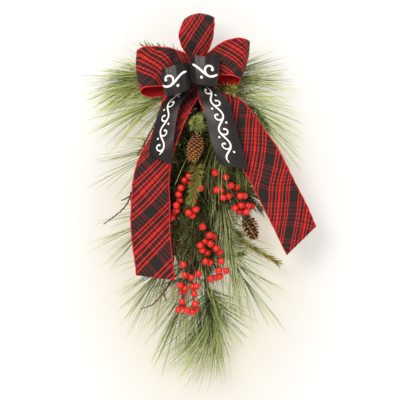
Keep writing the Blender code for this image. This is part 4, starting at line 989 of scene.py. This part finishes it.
# Fir sprigs: what each changes of the short needles, its side shoots, the bud at its tip, and the long
# needles that fill the space round it
firSprigs = dict(
    behind_left_loop=branch(0, -135, (-14, -6, 30), (-36, 18, 42), (-92, 31, 48), leaves="up", reach=58,
        look="fresh", shades=(0.5, 1.0), angles=(72, 45), length=(14, 20)),
    under_right_loop=branch(1, 45, (15, -45, 38), (36, -37, 56), (51, -39, 70), (55, -43, 84), leaves="up",
        reach=104, look="yellow", stem="brownStem", angles=(84, 60), bud=1.6, count=300),
    above_cone=branch(1, 0, (-2, -84, 36), (-5, -92, 54), (-5, -94, 84), reach=104, look="fresh",
        stem="brownStem", angles=(88, 72), bud=2.0, count=170, start=0.45, length=(9.5, 12), flatness=0.6,
        shades=(0.1, 0.8), shoots=2, shootLength=(8, 12), fill=dict(count=120, start=0.8, angles=(80, 80),
        bias=(0.1, 0, -1.1), length=(11, 18), radius=0.5, tuft=1, shades=(0.45, 1.0))),
    below_cone=branch(3, 0, (-2, -164, 40), (-5, -174, 68), (-8, -200, 86), (-14, -227, 90), reach=104,
        look="olive", stem="brownStem", angles=(64, 30), count=300, length=(12, 17), flatness=0.4),
    by_left_tail=branch(4, -45, (-22, -234, 34), (-42, -264, 42), (-48, -314, 46), reach=70, look="moss",
        stem="brownStem", count=170, fill=dict(count=360, angles=(80, 50))),
    low_right=branch(5, 45, (30, -276, 38), (70, -298, 46), (132, -334, 52), reach=74, look="olive",
        stem="brownStem", angles=(60, 26), count=320, flatness=0.5, stemRadii=(2.0, 1.4)),
    by_right_cone=branch(3, 45, (30, -176, 34), (65, -210, 38), (105, -246, 44), reach=70,
        fill=dict(count=700, end=0.72, angles=(76, 40), bias=(0.2, 0, -0.1), length=(26, 56),
        shades=(0.3, 1.0))),
    bottom=branch(7, 0, (20, -388, 34), (28, -404, 44), (33, -422, 52), reach=74, look="fresh",
        angles=(84, 50), count=150, length=(6, 9.5), start=0.3, shades=(0.0, 0.9)),
    low_center=branch(6, 45, (28, -326, 34), (54, -322, 48), (73, -318, 66), reach=90, look="fresh",
        angles=(66, 34)),
    by_right_tail=branch(2, 90, (30, -84, 34), (64, -70, 44), (94, -74, 52), (114, -106, 58), leaves="up",
        reach=72, look="fresh", shades=(0.45, 1.0), fill=dict(count=260, start=0.25, end=0.72,
        angles=(44, 40), bias=(-0.55, 0, -1.7), length=(92, 150), radius=0.6, shades=(0.4, 1.0))),
    outside_left_tail=branch(2, -45, (-26, -118, 36), (-56, -132, 44), (-84, -150, 50), reach=72,
        look="olive", stem="brownStem", shades=(0.3, 1.0), count=170, fill=dict(count=230,
        shades=(0.2, 1.0), radius=0.7)),
    behind_cone=branch(1, 135, (11, -88, 14), (18, -106, 23), (13, -126, 33), (3, -140, 34), reach=64,
        shoots=14, fill=dict(count=520, length=(26, 62))),
    beside_cone=branch(2, 135, (20, -121, 21), (27, -139, 29), (29, -165, 34), reach=64, shoots=12,
        fill=dict(count=560, bias=(0.45, 0, -0.8), length=(40, 84))),
    inner_left=branch(3, -45, (-16, -168, 38), (-32, -190, 44), (-46, -226, 48), reach=64, shoots=16,
        fill=dict(count=900, length=(24, 64))),
    inner_right=branch(4, 45, (16, -230, 38), (26, -256, 44), (42, -290, 47), reach=64, shoots=14,
        fill=dict(count=260)),
    inner_low=branch(5, 0, (4, -278, 34), (1, -306, 38), (-3, -348, 41), reach=64, shoots=14),
)
# Pine sprays: what each changes of the long needles, its inner needles, and single needles that cross in
# front of a cone or a berry pick, each with its root and tip
pineSprays = dict(
    top_left=branch(0, -90, (-26, -17, 26), (-62, -15, 29), (-100, -20, 33), leaves="up", reach=56,
        count=300, angles=(38, 9), bias=(0, 0, -0.24), shades=(0.0, 0.85), inner=dict(share=1.7, end=0.95,
        angles=(42, 18), length=(40, 96))),
    top_right=branch(0, 90, (18, -19, 25), (36, -20, 28), (56, -27, 32), leaves="up", reach=56, count=150,
        angles=(30, 12), bias=(0, 0, 0.3), radius=0.42, shades=(0.2, 1.0), inner=dict(share=2.4,
        angles=(56, 30), length=(34, 78), end=0.9)),
    upper_left=branch(1, -90, (-18, -47, 26), (-54, -50, 29), (-92, -68, 33), leaves="up", reach=62,
        count=165, angles=(42, 12), bias=(0, 0, 0.05), shades=(0.0, 0.7), inner=dict(share=0.9,
        bias=(0, 0, 0.25))),
    upper_right=branch(1, 90, (18, -47, 25), (45, -47, 30), (74, -62, 33), (98, -88, 37), leaves="up",
        reach=64, count=205, angles=(48, 24), start=0.3, bias=(0.15, 0, -0.32), shades=(0.0, 0.78),
        radius=0.46, inner=dict(share=1.2, angles=(60, 36), length=(34, 74))),
    left=branch(2, -90, (-26, -122, 25), (-58, -136, 28), (-90, -152, 32), reach=66, count=75,
        inner=dict(shades=(0.85, 1.0), share=5.0, end=0.5, length=(30, 62), bias=(0.8, 0, 0.35),
        flatness=0.4, radius=0.85), loose=(((-22, -156, 90), (-44, -203, 84)),)),
    middle_left=branch(4, -90, (-32, -230, 25), (-62, -249, 27), (-90, -270, 31), reach=66, look="cool",
        count=105, inner=dict(shades=(0.8, 1.0), share=4.5, end=0.35, length=(30, 64))),
    lower_left=branch(5, -90, (-20, -284, 25), (-46, -324, 27), (-74, -360, 30), reach=66, look="cool",
        count=160, angles=(50, 14), inner=dict(shades=(0.75, 1.0), share=2.0, end=0.5, radius=0.7,
        length=(34, 70))),
    bottom_left=branch(6, -90, (-8, -340, 26), (-22, -382, 29), (-36, -418, 32), reach=70, look="cool",
        count=120, angles=(34, 12), inner=dict(share=0.6)),
    bottom=branch(7, 180, (13, -392, 14), (15, -412, 16), (18, -444, 28), reach=70, look="cool", count=360,
        angles=(40, 16), length=(74, 110), curl=9.0, sway=-58.0, start=0.4, bias=(0.08, 0, 0),
        inner=dict(share=0.4, start=0.25)),
    lower_right=branch(5, 90, (30, -286, 26), (54, -326, 29), (76, -366, 32), reach=70, look="cool",
        count=95, angles=(44, 16), inner=dict(shades=(0.7, 1.0), share=0.6)),
    middle_right=branch(3, 90, (28, -180, 27), (44, -245, 32), (54, -313, 38), reach=80, look="cool",
        count=110, radius=0.4, tuft=1, angles=(20, 7), droop=12.0, curl=3.0, bias=(0, -0.32, -0.1),
        shades=(0.0, 0.85), inner=dict(bias=(0.0, -0.75, -1.2), angles=(48, 24), curl=2.5, radius=0.4,
        tuft=1, shades=(0.12, 1.0), share=2.6, end=0.8), loose=(((71, -255, 83), (96, -296, 85)),
        ((81, -252, 82), (99, -278, 84)), ((32, -160, 97), (31, -238, 93)), ((38, -160, 97),
        (46, -212, 93)), ((36, -160, 96), (37, -226, 92)))),
)


def makeNeedleLooks():
    # cut PVC film needles: matt, dark at the stem as painted shade deep in the foliage and pale at their
    # tips, some wholly dark as painted shade
    looks = {}
    for name, (root, middle, tip, shade, shadeTip) in needleTones.items():
        made, tree, shader = newMaterial(name + " needle film", 0.6, Specular_IOR_Level=0.3)
        share, tint = layOf(tree)
        colour = rampOf(tree, share, [(0.0, root), (0.45, middle), (1.0, tip)])
        darker = rampOf(tree, share, [(0.0, shade), (0.35, shade), (1.0, shadeTip)])
        shades = ((0.0, 0.0), (0.52, 0.12), (0.68, 0.85), (1.0, 1.0))
        blend = rampOf(tree, tint, [(place, grey(value)) for place, value in shades])
        feed(tree, shader.inputs["Base Color"], mixOf(tree, blend, colour, darker))
        looks[name] = made
    # stem: brown floral tape with the needle bases pressed into it
    for name, (low, high) in stemTones.items():
        looks[name] = grainedMaterial(name + " tape", 0.8, low, high, (3, 3), ((1.2, 3), 0.3, 0.6))
    return looks


def growNeedles(parts, path, spec, draw, obstacles):
    along = unit(np.gradient(path, axis=0))
    count, spread, start = spec["count"], spec["spread"], spec["start"]
    strands = []
    for k in range(count):
        for attempt in range(spec["tries"]):
            tuft = k - k % spec["tuft"]
            share = start + (spec["end"] - start) * (tuft + draw.random()) / count
            root, direction = partWay(path, path, share), unit(partWay(path, along, share))
            if k == tuft or attempt:
                lean = eitherWay(draw, needleDrift["lean"])
                turn = k * goldenAngle + eitherWay(draw, needleDrift["turn"])
            else:
                turn += math.radians(eitherWay(draw, needleDrift["tuftTurn"]) * spread)
            opening = np.interp(share, (start, 1), spec["angles"]) + lean
            opening = math.radians(opening + eitherWay(draw, 1) * spread)
            heading = spoke(opening, direction, spoke(turn, *acrossOf(direction))) * (1, spec["flatness"], 1)
            heading = unit(heading + spec["bias"])
            reach = heading * draw.uniform(*spec["length"])
            bend = np.array([draw.gauss(0, 1), draw.gauss(0, 0.5), draw.gauss(0, 1)]) * spec["curl"] / 2
            bend[2] -= spec["droop"] * draw.random()
            bend[0] += spec["sway"] * draw.random()
            line = [root + reach * t + bend * t * t for t in needleTests]
            if isFree(line, spec, obstacles):
                strands.append((root, reach, bend, draw.uniform(*spec["shades"])))
                break
    if strands:
        roots, reaches, bends, tints = zip(*strands)
        addStrands(parts, roots, reaches, bends, spec["radius"], tints)


def isFree(line, spec, obstacles):
    # off the door, out of the hook's space, behind the bow, and through no ribbon, cone or berry
    for point in line[1:]:
        side, z, depth = abs(point[0]), point[2], standOff - point[1]
        atHook = space["hookLow"] < z < space["hookHigh"] and depth < space["hookDepth"]
        inBow = z > space["bowLow"] and depth > space["bowDepth"] and spec["reach"] < space["inFront"]
        if depth < space["door"] or depth > spec["reach"] or (side < space["hookSide"] and atHook):
            return False
        if side < space["bowSide"] and (inBow or z > spec["ceiling"]):
            return False
    for a, b in zip(line, line[1:]):
        length = float(np.linalg.norm(b - a))
        if obstacles.ray_cast(a.tolist(), ((b - a) / length).tolist(), length)[0] is not None:
            return False
    return True


def makeShoots(parts, path, needles, draw, obstacles):
    # short side shoots, to the left and right in turn
    along = unit(np.gradient(path, axis=0))
    low, high = sideShoots["places"]
    shootNeedles = needles | dict(count=int(needles["count"] * sideShoots["needles"]))
    for k in range(needles["shoots"]):
        share = low + (high - low) * k / (needles["shoots"] - 1)
        root, direction = partWay(path, path, share), unit(partWay(path, along, share))
        turn = math.pi * (k % 2) + math.pi / 2 + eitherWay(draw, sideShoots["turn"])
        opening = math.radians(sideShoots["opening"] + eitherWay(draw, sideShoots["stray"]))
        heading = spoke(opening, direction, spoke(turn, *acrossOf(direction)))
        tip = root + heading * draw.uniform(*needles["shootLength"])
        middle = (root + tip) / 2 + sideShoots["arch"]
        if isFree([root, middle, tip], needles, obstacles):
            shoot = curveThrough([root, middle, tip], 4)
            addTube(parts, shoot, sideShoots["radii"], 6, 1)
            growNeedles(parts, shoot, shootNeedles, draw, obstacles)


# what each kind of branch starts from: its basic needles, the steps of a path and the first seed
branchKinds = dict(
    fir_sprig=dict(members=firSprigs, basic=shortNeedle, steps=6, seed=100, slot="fir_needles"),
    pine_spray=dict(members=pineSprays, basic=longNeedle, steps=7, seed=200, slot="pine_needles"),
)


def makeFoliage(obstacles):
    looks = makeNeedleLooks()
    for kind, family in branchKinds.items():
        for number, (name, spec) in enumerate(family["members"].items()):
            name, draw, parts = f"{kind}_{name}", random.Random(family["seed"] + number), Parts()
            needles, reach = family["basic"] | spec, dict(reach=spec["reach"])
            path = boundPath(spec, family["steps"])
            addTube(parts, path, needles["stemRadii"], 8, 1)
            growNeedles(parts, path, needles, draw, obstacles)
            if "bud" in spec:
                addBall(parts, path[-1], spec["bud"], 10, 8, 1)
            makeShoots(parts, path, needles, draw, obstacles)
            if "fill" in spec:
                growNeedles(parts, path, fillNeedle | reach | spec["fill"], draw, obstacles)
            if "inner" in spec:
                inner = innerNeedle | reach | spec["inner"]
                inner["count"] = int(spec["count"] * inner["share"])
                growNeedles(parts, path, inner, draw, obstacles)
            for ends in spec.get("loose", ()):
                root, tip = (at(*end) for end in ends)
                line = [root, (root + tip) / 2, tip]
                if isFree(line, longNeedle | dict(reach=space["inFront"]), obstacles):
                    bend = (eitherWay(draw, loose["bend"]), 0, 0)
                    addStrands(parts, [root], [tip - root], [bend], loose["radius"], [0.0])
            pair = [looks[needles["look"]], looks[needles["stem"]]]
            makePiece(name + "_needles", parts, pair, family["slot"], name)
        print(kind, "pieces made")


# Stage, lights and camera

# the wall and floor glow as painted light: glow is its strength, cream its colours outwards from creamMiddle
studio = dict(
    wall="#a2a2a2", glow=0.6, wallSize=3.2, wallBack=0.0052, floor=-1.0, distance=4.0, frameWidth=0.68,
    aim=(0.0, -0.045, -0.2278), sensor=36, world=0.25,
    creamMiddle=(0.0, 0.0, -0.18), cream=[(0.13, "#ebe3ca"), (0.18, "#f3ede2"), (0.26, "#ffffff")],
)
lamps = dict(
    key=dict(place=(-1.1, -3.0, 0.9), size=1.4, watts=87, colour="#fff8ee"),
    fill=dict(place=(2.2, -2.6, -0.1), size=2.4, watts=16, colour="#fffaf4"),
    above=dict(place=(0.0, -1.2, 2.2), size=1.8, watts=14, colour="#ffffff"),
)


def addToScene(name, data):
    made = bpy.data.objects.new(name, data)
    bpy.context.scene.collection.objects.link(made)
    return made


def makeStage():
    # painted wall: matt grey emulsion that glows cream in the middle and white outwards as painted light,
    # which also lifts the shadows on it; unseen from behind
    made, tree, shader = newMaterial("matt wall paint with painted glow", 0.9, Base_Color=studio["wall"])
    place = addNode(tree, "TexCoord").outputs["Object"]
    place = addNode(tree, "Mapping", {"Vector": place}, values={"Scale": (1.0, 1.0, 0.6)}).outputs[0]
    away = addNode(tree, "VectorMath", {0: place}, {"operation": "DISTANCE"}, {1: studio["creamMiddle"]})
    feed(tree, shader.inputs["Emission Color"], rampOf(tree, away.outputs["Value"], studio["cream"]))
    shader.inputs["Emission Strength"].default_value = studio["glow"]
    clear = addNode(tree, "BsdfTransparent").outputs[0]
    back = addNode(tree, "NewGeometry").outputs["Backfacing"]
    both = addNode(tree, "MixShader", {0: back, 1: shader.outputs[0], 2: clear}).outputs[0]
    tree.links.new(both, tree.nodes["Material Output"].inputs["Surface"])
    half, wallBack, floor = studio["wallSize"] / 2, studio["wallBack"], studio["floor"]
    for name, near, top in (("wall", wallBack, half), ("floor", -half, floor)):
        corners = ((-half, near, floor), (half, near, floor), (half, wallBack, top), (-half, wallBack, top))
        mesh = bpy.data.meshes.new(name)
        mesh.from_pydata(corners, [], [(0, 1, 2, 3)])
        mesh.materials.append(made)
        addToScene(name, mesh)
    for name, lamp in lamps.items():
        light = bpy.data.lights.new(name, "AREA")
        light.size = lamp["size"]
        light.energy = lamp["watts"]
        light.color = srgb(lamp["colour"])[:3]
        holder = addToScene(name, light)
        holder.location = lamp["place"]
        aim = np.array(studio["aim"]) - np.array(lamp["place"])
        tilt, turn = math.acos(-aim[2] / np.linalg.norm(aim)), math.atan2(aim[1], aim[0])
        holder.rotation_euler = (tilt, 0, turn - math.pi / 2)
    world = bpy.data.worlds.new("pale studio")
    world.use_nodes = True
    world.node_tree.nodes["Background"].inputs["Color"].default_value = srgb("#ffffff")
    world.node_tree.nodes["Background"].inputs["Strength"].default_value = studio["world"]
    bpy.context.scene.world = world
    camera = addToScene("camera", bpy.data.cameras.new("camera"))
    camera.data.sensor_width = studio["sensor"]
    camera.data.lens = studio["sensor"] * studio["distance"] / studio["frameWidth"]
    camera.location = (studio["aim"][0], studio["aim"][1] - studio["distance"], studio["aim"][2])
    camera.rotation_euler = (math.pi / 2, 0, 0)
    camera.data.clip_end = 50
    bpy.context.scene.camera = camera
    bpy.context.scene.view_settings.view_transform = "Standard"


makeStage()
makeHanger()
makeSpine()
makeWires()
print("frame and wires made")
surfaces = makeRibbons()
print("ribbons made")
coneBalls = makeCones()
berryBalls = makeBerries()
print("cones and berries made")
makeBareTwigs()
blocks = Parts()
for points, faces in surfaces:
    blocks.add(points, faces)
for centre, radius in coneBalls + berryBalls:
    addBall(blocks, centre, radius, 8, 6)
makeFoliage(BVHTree.FromPolygons(np.concatenate(blocks.points).tolist(), blocks.faces))
